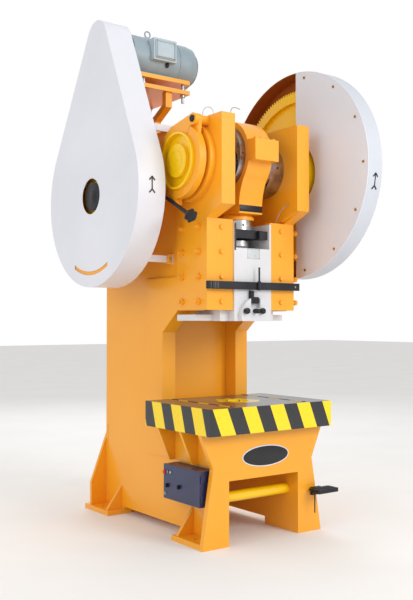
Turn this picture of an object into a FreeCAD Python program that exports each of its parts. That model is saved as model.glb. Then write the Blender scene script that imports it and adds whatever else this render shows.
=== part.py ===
"""C-frame mechanical stamping press, in millimetres.

+Z is up, -Y is the operator's side, +X is the gear side. The origin is the centre of the four
anchor holes, at floor level.
"""
import FreeCAD, Part
import Sketcher
import math
import os
import re

Vector = FreeCAD.Vector
X_AXIS = Vector(1, 0, 0)
Y_AXIS = Vector(0, 1, 0)
Z_AXIS = Vector(0, 0, 1)
TURNS = {"x": (Y_AXIS, 90), "y": (X_AXIS, -90), "z": (Z_AXIS, 0)}

# Sizes that can be set by themselves.
SIZES = {
    "anchor_x": 420, "anchor_y": 584, "anchor_r": 17, "foot_t": 35, "foot_w": 200, "foot_len": 340,
    "gusset_t": 24, "gusset_h": 165, "leg_gap": 572, "plate_t": 64, "doubler_t": 15, "liner_t": 26,
    "sheet_t": 35, "front_y": -748, "rear_y": 678, "skirt_z": 50, "bed_z": 700, "bed_t": 60,
    "front_waist": 408, "waist_z": 487, "front_foot": 490, "window_z": 402,
    "bolster_w": 1000, "bolster_reach": 372, "bolster_t": 165, "die_hole_r": 75, "slot_w": 28,
    "slot_deep": 26, "slot_foot": 46, "slot_foot_t": 18, "slot_gap": 300, "slot_land": 60,
    "rib_t": 22, "rib_pitch": 259, "rib_low": 485,
    "throat_y": -115, "throat_z": 1320, "chamfer_y": -298, "head_z": 1465, "head_y": -623,
    "guide_top": 2048, "cheek_y": -778, "cheek_z": 2121, "top_z": 2690, "seam_y": 95,
    "seam_z": 1685, "seam_front": -283, "web_y": 37, "guide_back_y": -298,
    "ram_y": -468, "crank_z": 2415, "throw": 60, "running": 0.05, "gap": 0.3,
    "keeper_in": 155, "keeper_t": 50, "ram_wide": 448, "ram_front": -634, "ram_top": 2035,
    "ram_low": 1394, "flange_w": 740, "flange_y": -498, "flange_z": 1396, "flange_t": 40,
    "shank_r": 31.75, "shank_deep": 110, "pocket_w": 280, "pocket_z": 1868, "pocket_y": -338,
    "journal_r": 100, "bush_t": 25, "pin_r": 85, "collar_r": 178, "rod_half": 97, "ring_t": 45,
    "big_r": 245, "sleeve_r": 190, "sleeve_in": 150, "ring_r": 212, "neck_half": 144,
    "neck_low": 2098, "cap_r": 112, "cap_t": 38, "screw_r": 104, "screw_t": 66, "stem_r": 58,
    "lock_t": 56, "ball_r": 78, "boss_r": 255, "boss_t": 45, "gear_boss_r": 170, "gear_boss_t": 60,
    "drum_r": 183, "drum_x": -500, "drum_t": 60, "drum_hub_r": 107, "jaw_r": 240, "jaw_x": -480,
    "jaw_t": 50, "brake_pin_y": -628, "brake_pin_z": 2657, "brake_pin_r": 14, "brake_eye_r": 37,
    "gear_x": 502, "gear_w": 98, "gear_teeth": 148, "pinion_teeth": 22, "gear_mod": 8,
    "shaft_dy": 658, "shaft_r": 45, "shaft_boss_r": 105, "shaft_boss_t": 40,
    "wheel_r": 520, "wheel_x": -735, "wheel_w": 150, "wheel_rim": 70, "wheel_hub_r": 100,
    "wheel_web": 40, "pulley_r": 95, "belt_t": 12, "belt_w": 18, "belt_pitch": 30,
    "belt_guard_x": -750, "belt_guard_w": 200, "belt_guard_r": 620, "belt_guard_top_r": 132,
    "belt_guard_top_z": 3298, "guard_t": 4, "guard_hole_r": 122, "peep_r": 525, "peep_w": 25,
    "peep_half": 26, "gear_guard_x": 495, "gear_guard_w": 125, "gear_guard_r": 725,
    "gear_hole_r": 235, "cover_y": -510, "pinion_guard_r": 140,
    "motor_y": 120, "motor_z": 3223, "motor_r": 158, "motor_x": -540, "motor_len": 380,
    "cowl_len": 170, "motor_shaft_r": 24, "motor_plate_w": 400, "motor_plate_d": 480,
    "motor_plate_x": -545, "motor_plate_t": 28, "motor_plate_gap": 42, "motor_foot_z": 3063,
    "stand_x": -305, "stand_t": 50,
    "bar_half": 381, "bar_z": 1598, "bar_h": 49, "bar_t": 28, "box_y": -690, "box_w": 400,
    "box_z": 250, "box_h": 220, "box_deep": 105, "door_t": 14, "tie_r": 34, "tie_y": -628,
    "tie_z": 278, "rail_h": 45, "rail_t": 20,
}

# Sizes and places that follow from the others.
DERIVED = {
    "leg_in": "=leg_gap / 2", "side_out": "=leg_in + plate_t", "cheek_out": "=side_out + doubler_t",
    "liner_in": "=leg_in - liner_t", "bed_back": "=front_y + sheet_t",
    "bolster_y": "=ram_y - bolster_reach", "bolster_d": "=throat_y - bolster_y",
    "bolster_top": "=bed_z + bolster_t",
    "big_z": "=crank_z + throw", "centres": "=gear_mod * (gear_teeth + pinion_teeth) / 2",
    "shaft_y": "=ram_y + shaft_dy", "shaft_z": "=crank_z - sqrt(centres ^ 2 - shaft_dy ^ 2)",
    "bush_r": "=journal_r + bush_t", "keeper_back": "=head_y + keeper_t",
    "screw_top": "=neck_low - cap_t", "lock_top": "=screw_top - screw_t",
    "ball_top": "=lock_top - lock_t", "plate_top_z": "=motor_foot_z - motor_plate_t",
    "low_plate_z": "=plate_top_z - motor_plate_gap - motor_plate_t",
    "motor_plate_y": "=motor_y - motor_plate_d / 2",
}

doc = FreeCAD.newDocument("press")
sheet = doc.addObject("Spreadsheet::Sheet", "Sizes")
nodes = []


def fill_sheet():
    """Writes every size and place into the sheet, one alias a row."""
    rows = [(name, str(value)) for name, value in SIZES.items()] + list(DERIVED.items())
    for row, (name, text) in enumerate(rows, start=1):
        sheet.set(f"A{row}", name)
        sheet.set(f"B{row}", text)
        sheet.setAlias(f"B{row}", name)
    doc.recompute()


def bound(text):
    """Turns an expression on aliases into one that names the sheet."""
    known = set(SIZES) | set(DERIVED)
    return re.sub(r"[a-z][a-z0-9_]*", lambda m: "Sizes." + m[0] if m[0] in known else m[0], str(text))


def value(text):
    """The present value of an expression on aliases."""
    return float(sheet.evalExpression(bound(text)))


def place(item, x, y, z, axis="z"):
    """Ties an object's position to the sheet, with its own Z turned to an axis."""
    item.Placement = FreeCAD.Placement(Vector(), FreeCAD.Rotation(*TURNS[axis]))
    for name, text in zip("xyz", (x, y, z)):
        item.setExpression("Placement.Base." + name, bound(text))


def node(item, label):
    """Names an object as a finished sub-part."""
    item.Label = label
    nodes.append(item)
    return item


def box(x, y, z, dx, dy, dz):
    """A block from its lowest corner and its three lengths."""
    item = doc.addObject("Part::Box", "block")
    for name, text in (("Length", dx), ("Width", dy), ("Height", dz)):
        item.setExpression(name, bound(text))
    place(item, x, y, z)
    return item


def drum(axis, x, y, z, radius, length):
    """A cylinder that starts at a point and runs along an axis."""
    item = doc.addObject("Part::Cylinder", "drum")
    item.setExpression("Radius", bound(radius))
    item.setExpression("Height", bound(length))
    place(item, x, y, z, axis)
    return item


def fuse(*items):
    """One solid from several that touch or overlap."""
    item = doc.addObject("Part::MultiFuse", "union")
    item.Shapes = list(items)
    item.Refine = True
    return item


def cut(base, *tools):
    """A solid less the tools."""
    item = doc.addObject("Part::Cut", "cut")
    item.Base = base
    item.Tool = tools[0] if len(tools) == 1 else fuse(*tools)
    return item


def common(base, tool):
    """What two solids share."""
    item = doc.addObject("Part::Common", "common")
    item.Base = base
    item.Tool = tool
    return item


def sketch(body, role, outline):
    """A closed polygon on one of the body's planes, each corner tied to the sheet."""
    item = body.newObject("Sketcher::SketchObject", "outline")
    plane = [part for part in body.Origin.OriginFeatures if part.Role == role][0]
    item.AttachmentSupport = (plane, "")
    item.MapMode = "FlatFace"
    corners = [Vector(value(across), value(up), 0) for across, up in outline]
    count = len(corners)
    for index in range(count):
        item.addGeometry(Part.LineSegment(corners[index], corners[(index + 1) % count]), False)
    for index in range(count):
        item.addConstraint(Sketcher.Constraint("Coincident", index, 2, (index + 1) % count, 1))
    for index, texts in enumerate(outline):
        for kind, text, number in zip(("DistanceX", "DistanceY"), texts, corners[index]):
            key = item.addConstraint(Sketcher.Constraint(kind, -1, 1, index, 1, number))
            item.setExpression(f"Constraints[{key}]", bound(text))
    return item


def plate(role, start, thickness, outline):
    """A flat plate: a polygon on the YZ, XZ or XY plane, padded along +X, +Y or +Z."""
    body = doc.addObject("PartDesign::Body", "plate")
    pad = body.newObject("PartDesign::Pad", "pad")
    pad.Profile = sketch(body, role, outline)
    pad.setExpression("Length", bound(thickness))
    pad.Reversed = role == "XZ_Plane"
    axis = {"YZ_Plane": "x", "XZ_Plane": "y", "XY_Plane": "z"}[role]
    body.setExpression("Placement.Base." + axis, bound(start))
    return body


def turned(axis, x, y, z, outline):
    """A turned piece: (radius, distance along the axis) corners, spun about the axis."""
    body = doc.addObject("PartDesign::Body", "turned")
    profile = sketch(body, "XZ_Plane", outline)
    spin = body.newObject("PartDesign::Revolution", "spin")
    spin.Profile = profile
    spin.ReferenceAxis = (profile, ["V_Axis"])
    spin.Angle = 360
    place(body, x, y, z, axis)
    return body


def shaped(shape):
    """A piece whose form is worked out from the sheet's values."""
    item = doc.addObject("Part::Feature", "shaped")
    item.Shape = shape
    return item


def mirrored(make):
    """Builds a piece on the left and on the right: make(side, start) gets the side's name and a
    function that gives the lowest X of a piece from its inner face and its thickness."""
    make("left", lambda inner, thick: f"-({inner}) - ({thick})")
    make("right", lambda inner, thick: inner)


def front_profile():
    """The head, throat and cheek edge that every frame plate shares, from the bed to the top."""
    return [
        ("throat_y", "bed_z"), ("throat_y", "throat_z"), ("chamfer_y", "head_z"),
        ("head_y", "head_z"), ("head_y", "guide_top"), ("cheek_y", "cheek_z"), ("cheek_y", "top_z"),
    ]


def frame_side(side, lowest):
    """One side of the weldment: main plate, doubler, head liner and the two bearing bosses."""
    main_plate = plate("YZ_Plane", lowest("leg_in", "plate_t"), "plate_t", front_profile() + [
        ("rear_y", "top_z"), ("rear_y", "skirt_z"), ("bed_back", "skirt_z"), ("bed_back", "bed_z")])
    doubler = plate("YZ_Plane", lowest("side_out", "doubler_t"), "doubler_t", front_profile() + [
        ("seam_front", "top_z"), ("seam_front", "seam_z"), ("seam_y", "seam_z"), ("seam_y", "rib_low"),
        ("bed_back", "rib_low"), ("bed_back", "bed_z")])
    liner = plate("YZ_Plane", lowest("liner_in", "liner_t"), "liner_t", [
        ("throat_y", "bed_z"), ("throat_y", "throat_z"), ("chamfer_y", "head_z"),
        ("keeper_back", "head_z"), ("keeper_back", "guide_top"), ("cheek_y", "cheek_z"),
        ("cheek_y", "top_z"), ("web_y", "top_z"), ("web_y", "bed_z")])
    boss_r = "boss_r" if side == "left" else "gear_boss_r"
    boss_t = "boss_t" if side == "left" else "gear_boss_t"
    boss = drum("x", lowest("cheek_out", boss_t), "ram_y", "crank_z", boss_r, boss_t)
    shaft_boss = drum("x", lowest("side_out", "shaft_boss_t"), "shaft_y", "shaft_z", "shaft_boss_r",
                      "shaft_boss_t")
    depth = f"cheek_out + {boss_t} - liner_in"
    crank_bore = drum("x", lowest("liner_in", depth), "ram_y", "crank_z", "bush_r + running", depth)
    depth = "plate_t + shaft_boss_t"
    shaft_bore = drum("x", lowest("leg_in", depth), "shaft_y", "shaft_z", "shaft_r + running", depth)
    whole = fuse(main_plate, doubler, liner, boss, shaft_boss)
    node(cut(whole, crank_bore, shaft_bore), "frame_side_" + side)


def front_plate():
    """The waisted front plate of the bed, open to the floor between its legs."""
    half = "bolster_w / 2"
    outline = [
        ("-" + half, "bed_z"), ("-front_waist", "waist_z"), ("-front_foot", "0"), ("-leg_in", "0"),
        ("-leg_in", "window_z"), ("leg_in", "window_z"), ("leg_in", "0"), ("front_foot", "0"),
        ("front_waist", "waist_z"), (half, "bed_z")]
    node(plate("XZ_Plane", "front_y", "sheet_t", outline), "front_bed_plate")


def cross_plates():
    """The plates that tie the two sides together."""
    bed = box("-leg_in", "bed_back", "bed_z - bed_t", "leg_gap", "throat_y - bed_back", "bed_t")
    slug_hole = drum("z", 0, "ram_y", "bed_z - bed_t", "die_hole_r + 15", "bed_t")
    node(cut(bed, slug_hole), "bed_top_plate")
    inner = "2 * liner_in"
    web = box("-liner_in", "web_y - sheet_t", "bed_z", inner, "sheet_t", "top_z - bed_z")
    guide_back = box("-liner_in", "guide_back_y", "head_z", inner, "sheet_t", "guide_top - head_z")
    tie = box("-liner_in", "guide_back_y + sheet_t", "guide_top - sheet_t", inner,
              "web_y - 2 * sheet_t - guide_back_y", "sheet_t")
    top = box("-leg_in", "web_y", "top_z - sheet_t", "leg_gap", "rear_y - sheet_t - web_y", "sheet_t")
    node(fuse(web, guide_back, tie, top), "head_web")
    back = box("-leg_in", "rear_y - sheet_t", "skirt_z", "leg_gap", "sheet_t", "top_z - skirt_z")
    port = box("-leg_in + 110", "rear_y - sheet_t", "900", "leg_gap - 220", "sheet_t", "480")
    node(cut(back, port), "back_plate")
    node(drum("x", "-leg_in", "tie_y", "tie_z", "tie_r", "leg_gap"), "tie_tube")


def ribs(side, lowest):
    """The two tapered ribs under the bolster's edge, on one side."""
    sign = "-" if side == "left" else ""
    pair = []
    for count in (1, 2):
        start = f"front_y - 30 - rib_t / 2 + {count} * rib_pitch"
        rib = plate("XZ_Plane", start, "rib_t", [
            (f"{sign}side_out", "rib_low"), (f"{sign}front_waist", "rib_low"),
            (f"{sign}bolster_w / 2", "bed_z"), (f"{sign}side_out", "bed_z")])
        slot = box(lowest("side_out", "doubler_t"), start, "rib_low", "doubler_t", "rib_t", "bed_z - rib_low")
        pair.append(cut(rib, slot))
    node(fuse(*pair), "bed_ribs_" + side)


def foot(side, end):
    """A foot plate with its anchor hole and its triangular gusset."""
    sign = "-" if side == "left" else ""
    low_x = "-leg_in - foot_w" if side == "left" else "leg_in"
    front = end == "front"
    low_y = "bed_back" if front else "anchor_y - foot_len / 2"
    length = "foot_len - sheet_t" if front else "foot_len"
    sole = box(low_x, low_y, 0, "foot_w", length, "foot_t")
    gusset_y = f"({low_y}) + ({length}) - gusset_t - 30" if front else f"({low_y}) + 30"
    top = "foot_t + gusset_h"
    gusset = plate("XZ_Plane", gusset_y, "gusset_t", [
        (f"{sign}side_out", "foot_t"), (f"{sign}(leg_in + foot_w - 12)", "foot_t"),
        (f"{sign}side_out", top)])
    pieces = [sole, gusset]
    if front:
        low_in = "-side_out" if side == "left" else "leg_in"
        pieces.append(box(low_in, low_y, "foot_t", "plate_t", length, "skirt_z - foot_t"))
    else:
        fin = plate("XZ_Plane", "rear_y", "gusset_t", [
            (f"{sign}(leg_in + foot_w - 12)", "foot_t"),
            (f"{sign}(leg_in + foot_w - 12)", "foot_t + gusset_h"), (f"{sign}leg_in", "bed_z"),
            (f"{sign}leg_in", "foot_t")])
        low_in = "-side_out" if side == "left" else "leg_in"
        pieces += [fin, box(low_in, low_y, "foot_t", "plate_t", f"rear_y - ({low_y})", "skirt_z - foot_t")]
    hole = drum("z", f"{sign}anchor_x", "-anchor_y" if front else "anchor_y", 0, "anchor_r", "foot_t")
    node(cut(fuse(*pieces), hole), f"foot_{end}_{side}")


def bolster():
    """The bolster with its die hole and its T-slots, which T-bolts drop into near the front."""
    block = box("-bolster_w / 2", "bolster_y", "bed_z", "bolster_w", "bolster_d", "bolster_t")
    tools = [drum("z", 0, "ram_y", "bed_z", "die_hole_r", "bolster_t")]
    start, length = "bolster_y + slot_land", "bolster_d - slot_land"
    deep = "slot_deep + slot_foot_t"
    for centre in ("-slot_gap", "slot_gap"):
        tools.append(box(f"{centre} - slot_w / 2", start, "bolster_top - slot_deep",
                         "slot_w", length, "slot_deep"))
        tools.append(box(f"{centre} - slot_foot / 2", start, f"bolster_top - ({deep})",
                         "slot_foot", length, "slot_foot_t"))
        tools.append(drum("z", centre, start, f"bolster_top - ({deep})", "slot_foot / 2 + 1", deep))
    node(cut(block, *tools), "bolster")


def guide(side, lowest):
    """One guide of the ram: the front keeper with the running strip behind it."""
    height = "guide_top - head_z"
    width = "leg_in - keeper_in"
    keeper = box(lowest("keeper_in", width), "head_y", "head_z", width, "keeper_t", height)
    strip_in = "ram_wide / 2 + gap"
    width = f"liner_in - ({strip_in})"
    strip = box(lowest(strip_in, width), "keeper_back", "head_z", width, "guide_back_y - keeper_back", height)
    node(fuse(keeper, strip), "ram_guide_" + side)


def guide_bolts(side, lowest):
    """Hex heads on the keeper, and set screws with lock nuts on the cheek."""
    middle = "(keeper_in + leg_in) / 2 + 30"
    across = f"-({middle})" if side == "left" else middle
    heads = []
    for step in (54, 213, 373, 530):
        row = f"head_z + {step}"
        heads.append(drum("y", across, "head_y - 14", row, 15, 14))
        for back in ("head_y + 85", "head_y + 270"):
            heads.append(drum("x", lowest("cheek_out", "16"), back, row, 20, 16))
            heads.append(drum("x", lowest("cheek_out", "34"), back, row, 11, 34))
    node(fuse(*heads), "guide_bolts_" + side)


def ram():
    """The ram with its screw pocket and shank bore, its flange, and the shank clamp."""
    narrow = box("-keeper_in + gap", "ram_front", "ram_low", "2 * (keeper_in - gap)",
                 "flange_y - ram_front", "ram_top - ram_low")
    wide = box("-ram_wide / 2", "keeper_back + gap", "ram_low", "ram_wide",
               "flange_y - keeper_back - gap", "ram_top - ram_low")
    flange_top = "flange_z + flange_t"
    rear = box("-ram_wide / 2", "flange_y", flange_top, "ram_wide",
               "guide_back_y - gap - flange_y", f"ram_top - ({flange_top})")
    pocket = box("-pocket_w / 2", "ram_front", "pocket_z", "pocket_w", "pocket_y - ram_front",
                 "ram_top - pocket_z")
    shank = drum("z", 0, "ram_y", "ram_low", "shank_r", "shank_deep")
    node(cut(fuse(narrow, wide, rear), pocket, shank), "ram")
    flange = box("-flange_w / 2", "flange_y", "flange_z", "flange_w", "guide_back_y - gap - flange_y",
                 "flange_t")
    holes = [drum("z", 0, "ram_y", "flange_z", "shank_r", "flange_t")]
    for sign in "-+":
        holes.append(drum("z", f"{sign}(flange_w / 2 - 45)", "(flange_y + guide_back_y) / 2", "flange_z",
                          13, "flange_t"))
    node(cut(flange, *holes), "ram_flange")
    thick = 32
    disc = drum("y", 0, f"ram_front - {thick}", "ram_low + 34", 120, thick)
    window = box(-122, f"ram_front - {thick}", "ram_low", 244, thick, 200)
    notch = box(-42, f"ram_front - {thick}", "ram_low + 84", 78, thick, 120)
    plate_part = cut(common(disc, window), notch)
    heads = [drum("y", across, f"ram_front - {thick + 16}", "ram_low + 65", 13, 16)
             for across in (-87, -12, 42)]
    node(fuse(plate_part, *heads), "shank_clamp")
    stem = box(-36, "ram_front - 26", 1508, 24, "26 - gap", 82)
    block = box(-36, "ram_front - 26", 1508, 65, "26 - gap", 42)
    node(fuse(stem, block), "knockout_block")


def rod_neck():
    """The connecting rod's shank in side view: arcs from the big end into the straight foot."""
    y = value("ram_y")
    z = value("big_z")
    radius = value("big_r") - 1
    half = value("neck_half")
    low = value("neck_low")
    turn = math.radians(38)
    start = Vector(0, y - radius * math.cos(turn), z - radius * math.sin(turn))
    middle = Vector(0, y - half - 12, z - 0.98 * radius)
    end = Vector(0, y - half, z - 1.25 * radius)

    def flip(point):
        return Vector(0, 2 * y - point.y, point.z)
    foot = Vector(0, y - half, low)
    edges = [
        Part.Arc(start, middle, end).toShape(), Part.makeLine(end, foot),
        Part.makeLine(foot, flip(foot)), Part.makeLine(flip(foot), flip(end)),
        Part.Arc(flip(end), flip(middle), flip(start)).toShape(), Part.makeLine(flip(start), start)]
    face = Part.Face(Part.Wire(edges))
    face.translate(X_AXIS * -value("rod_half"))
    return face.extrude(X_AXIS * 2 * value("rod_half"))


def connecting_rod():
    """The rod, its eccentric sleeve, ring nut, cap, screw and lock clamp."""
    wide = "2 * rod_half"
    eye = drum("x", "-rod_half", "ram_y", "big_z", "big_r", wide)
    lug = box("-rod_half", "ram_y - big_r - 67", "big_z - 51", wide, 150, 138)
    bore = drum("x", "-rod_half", "ram_y", "big_z", "sleeve_r + running", wide)
    lug_bolts = [drum("z", across, "ram_y - big_r - 40", "big_z + 87", 11, 12)
                 for across in (-75, -25, 25, 75)]
    cap = turned("z", 0, "ram_y", "screw_top", [
        ("0", "0"), ("cap_r", "0"), ("cap_r", "cap_t - 16"), ("cap_r - 16", "cap_t"), ("0", "cap_t")])
    node(cut(fuse(eye, shaped(rod_neck()), lug, cap, *lug_bolts), bore), "connecting_rod")
    out = "rod_half + ring_t"
    tube = drum("x", f"-({out})", "ram_y", "big_z", "sleeve_r", f"2 * ({out})")
    collar = drum("x", f"-({out})", "ram_y", "big_z", "ring_r", "ring_t - gap")
    hollow = drum("x", f"-({out})", "ram_y", "big_z", "sleeve_in", f"2 * ({out})")
    node(cut(fuse(tube, collar), hollow, *tommy_holes(f"-({out}) + ring_t / 2")), "eccentric_sleeve")
    nut = drum("x", "rod_half + gap", "ram_y", "big_z", "ring_r", "ring_t - gap")
    seat = drum("x", "rod_half + gap", "ram_y", "big_z", "sleeve_r + running", "ring_t - gap")
    node(cut(nut, seat, *tommy_holes(f"{out} - ring_t / 2")), "sleeve_ring_nut")
    screw = turned("z", 0, "ram_y", "pocket_z", [
        ("0", "0"), ("ball_r - 14", "0"), ("ball_r", "22"), ("ball_r", "ball_top - pocket_z - 12"),
        ("stem_r", "ball_top - pocket_z"), ("stem_r", "lock_top - pocket_z"),
        ("screw_r", "lock_top - pocket_z"), ("screw_r", "screw_top - pocket_z"),
        ("0", "screw_top - pocket_z")])
    sockets = []
    for index in range(6):
        turn = math.radians(15 + 60 * index)
        along = [(f"{reach * math.cos(turn):.6f} * screw_r",
                  f"ram_y + {reach * math.sin(turn):.6f} * screw_r",
                  "(lock_top + screw_top) / 2") for reach in (0.8, 1.1)]
        sockets.append(rod_between(*along, 9))
    node(cut(screw, *sockets), "adjusting_screw")
    block = box(-118, "ram_y - 118", "ball_top", 236, 236, "lock_t")
    bore = drum("z", 0, "ram_y", "ball_top", "stem_r + running", "lock_t")
    ear = box(70, "ram_y - 150", "ball_top - 6", 66, 60, "lock_t")
    node(cut(fuse(block, ear), bore), "lock_clamp")


def tommy_holes(x, count=6, radius="ring_r", centre="big_z"):
    """Tools for the radial holes that a tommy bar turns a ring by."""
    tools = []
    for index in range(count):
        tool = doc.addObject("Part::Cylinder", "tommy")
        tool.Radius = 9
        tool.Height = 60
        turn = FreeCAD.Rotation(X_AXIS, 30 + index * 360 / count)
        tool.Placement = FreeCAD.Placement(Vector(), turn)
        reach = f"({radius} - 18)"
        direction = turn.multVec(Z_AXIS)
        tool.setExpression("Placement.Base.x", bound(x))
        tool.setExpression("Placement.Base.y", bound(f"ram_y + {reach} * {direction.y:.6f}"))
        tool.setExpression("Placement.Base.z", bound(f"{centre} + {reach} * {direction.z:.6f}"))
        tools.append(tool)
    return tools


def crankshaft():
    """The shaft with its throw and two collars, its bushes, bosses and the brake drum."""
    throw = drum("x", "-rod_half - ring_t - 6", "ram_y", "big_z", "pin_r", "2 * (rod_half + ring_t + 6)")
    pieces = [throw]
    tools = []
    for side, sign in (("left", -1), ("right", 1)):
        near = "rod_half + ring_t + 6"
        width = f"liner_in - gap - ({near})"
        low = f"-({near}) - ({width})" if sign < 0 else near
        pieces.append(drum("x", low, "ram_y", "crank_z", "collar_r", width))
        tools += tommy_holes(f"({low}) + ({width}) / 2", 6, "collar_r", "crank_z")
    pieces.append(drum("x", "drum_x + 12", "ram_y", "crank_z", "journal_r", f"-(drum_x + 12) - ({near})"))
    pieces.append(drum("x", near, "ram_y", "crank_z", "journal_r", f"gear_x + gear_w + 8 - ({near})"))
    node(cut(fuse(*pieces), *tools), "crankshaft")
    for side, low, thick in (("left", "-cheek_out - boss_t", "boss_t"), ("right", "liner_in", "gear_boss_t")):
        long = f"cheek_out + {thick} - liner_in"
        shell = drum("x", low, "ram_y", "crank_z", "bush_r", long)
        bore = drum("x", low, "ram_y", "crank_z", "journal_r + running", long)
        node(cut(shell, bore), "bush_" + side)
    rim = turned("x", "drum_x", "ram_y", "crank_z", [
        ("0", "6"), ("drum_hub_r", "6"), ("drum_hub_r", "34"), ("drum_r - 14", "34"),
        ("drum_r - 14", "0"), ("drum_r", "0"), ("drum_r", "drum_t"), ("0", "drum_t")])
    seat = drum("x", "drum_x + 12", "ram_y", "crank_z", "journal_r + running", "drum_t")
    node(cut(rim, seat), "brake_drum")


def spun_about_centre(x, thick, side):
    """The half space on one side (-1 front, 1 rear) of the line from the drum to the brake's pin."""
    reach = 400
    item = Part.makeBox(value(thick), reach, 2 * reach)
    item.translate(Vector(0, 2 if side > 0 else -reach - 2, -reach))
    across = value("brake_pin_y - ram_y")
    up = value("brake_pin_z - crank_z")
    item.rotate(Vector(), X_AXIS, math.degrees(math.atan2(-across, up)))
    item.translate(Vector(value(x), value("ram_y"), value("crank_z")))
    return shaped(item)


def rod_between(start, end, radius):
    """A straight round bar between two points given as expressions."""
    low = Vector(*[value(text) for text in start])
    way = Vector(*[value(text) for text in end]) - low
    return shaped(Part.makeCylinder(radius, way.Length, low, way))


def brake():
    """Two jaws round the drum, the pin they hang on, and the clamp rod with its star nut."""
    half = "jaw_t / 2"
    outer = ("jaw_x", f"{half} - gap")
    inner = (f"jaw_x + {half}", half)
    for name, side, eye_at in (("rear", 1, outer), ("front", -1, inner)):
        ring = cut(drum("x", "jaw_x", "ram_y", "crank_z", "jaw_r", "jaw_t"),
                   drum("x", "jaw_x", "ram_y", "crank_z", "drum_r + gap", "jaw_t"))
        arm = common(ring, spun_about_centre("jaw_x", "jaw_t", side))
        eye = drum("x", eye_at[0], "brake_pin_y", "brake_pin_z", "brake_eye_r", eye_at[1])
        if side > 0:
            web = plate("YZ_Plane", eye_at[0], eye_at[1], [
                ("brake_pin_y", "brake_pin_z + brake_eye_r - 1"), ("ram_y + 95", "crank_z + jaw_r - 12"),
                ("ram_y + 40", "crank_z + drum_r + 16"), ("ram_y - 40", "crank_z + drum_r + 16"),
                ("ram_y - 92", "crank_z + 180"), ("brake_pin_y - 14", "brake_pin_z - 20")])
            lug = box("jaw_x", "ram_y + 146", "crank_z - 232", "jaw_t", 40, 62)
        else:
            web = plate("YZ_Plane", eye_at[0], eye_at[1], [
                ("brake_pin_y - brake_eye_r + 2", "brake_pin_z - 8"),
                ("brake_pin_y + 20", "brake_pin_z - 28"),
                ("ram_y - 122", "crank_z + 168"), ("ram_y - 182", "crank_z + 132")])
            lug = box("jaw_x", "ram_y + 26", "crank_z - 275", "jaw_t", 46, 62)
        bore = drum("x", "jaw_x", "brake_pin_y", "brake_pin_z", "brake_pin_r + running", "jaw_t")
        node(cut(fuse(arm, eye, web, lug), bore), f"brake_jaw_{name}")
    pin = drum("x", "jaw_x - 8", "brake_pin_y", "brake_pin_z", "brake_pin_r", "-jaw_x + 8 - cheek_out")
    spacer = drum("x", "jaw_x + jaw_t + gap", "brake_pin_y", "brake_pin_z", 30,
                  "-jaw_x - jaw_t - gap - cheek_out")
    node(fuse(pin, spacer), "brake_pin")
    side = "jaw_x - 15"
    bar = rod_between((side, "ram_y + 166", "crank_z - 196"), (side, "ram_y - 168", "crank_z - 369"), 13)
    star = rod_between((side, "ram_y - 150", "crank_z - 360"), (side, "ram_y - 178", "crank_z - 374.5"), 34)
    link = drum("x", side, "ram_y + 166", "crank_z - 196", 11, 15)
    node(fuse(bar, star, link), "brake_rod")


def tooth_wheel(teeth, width, x, y, z, phase):
    """A spur wheel with involute flanks, one tooth centred at an angle from +Y."""
    module = value("gear_mod")
    pitch_r = module * teeth / 2
    base_r = pitch_r * math.cos(math.radians(20))
    backlash = 0.06
    half_pitch = (math.pi / 2 - backlash) / teeth + math.tan(math.radians(20)) - math.radians(20)
    points = []
    for index in range(teeth):
        middle = phase + 2 * math.pi * index / teeth
        flank = []
        for step in (-1.2, -0.4, 0.3, 0.97):
            radius = pitch_r + step * module
            lean = math.acos(min(1, base_r / radius))
            flank.append((radius, half_pitch - math.tan(lean) + lean))
        for radius, half in flank:
            points.append((radius, middle - half))
        for radius, half in reversed(flank):
            points.append((radius, middle + half))
    corners = [Vector(0, radius * math.cos(turn), radius * math.sin(turn)) for radius, turn in points]
    wheel = Part.Face(Part.makePolygon(corners + corners[:1])).extrude(X_AXIS * value(width))
    wheel.translate(Vector(value(x), value(y), value(z)))
    return shaped(wheel)


def gears():
    """The bull gear on the crank's axis and the pinion on the back shaft."""
    line = math.atan2(value("shaft_z - crank_z"), value("shaft_dy"))
    blank = tooth_wheel(int(value("gear_teeth")), "gear_w", "gear_x", "ram_y", "crank_z", line)
    hub_x = "cheek_out + gear_boss_t + 3"
    hub = drum("x", hub_x, "ram_y", "crank_z", 205, f"gear_x - ({hub_x})")
    bore = drum("x", hub_x, "ram_y", "crank_z", "journal_r + running", f"gear_x + gear_w - ({hub_x})")
    recesses = [cut(drum("x", low, "ram_y", "crank_z", 520, 28), drum("x", low, "ram_y", "crank_z", 205, 28))
                for low in ("gear_x", "gear_x + gear_w - 28")]
    node(cut(fuse(blank, hub), bore, *recesses), "bull_gear")
    teeth = int(value("pinion_teeth"))
    blank = tooth_wheel(teeth, "gear_w", "gear_x", "shaft_y", "shaft_z", line + math.pi + math.pi / teeth)
    bore = drum("x", "gear_x", "shaft_y", "shaft_z", "shaft_r + running", "gear_w")
    node(cut(blank, bore), "pinion")


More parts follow.
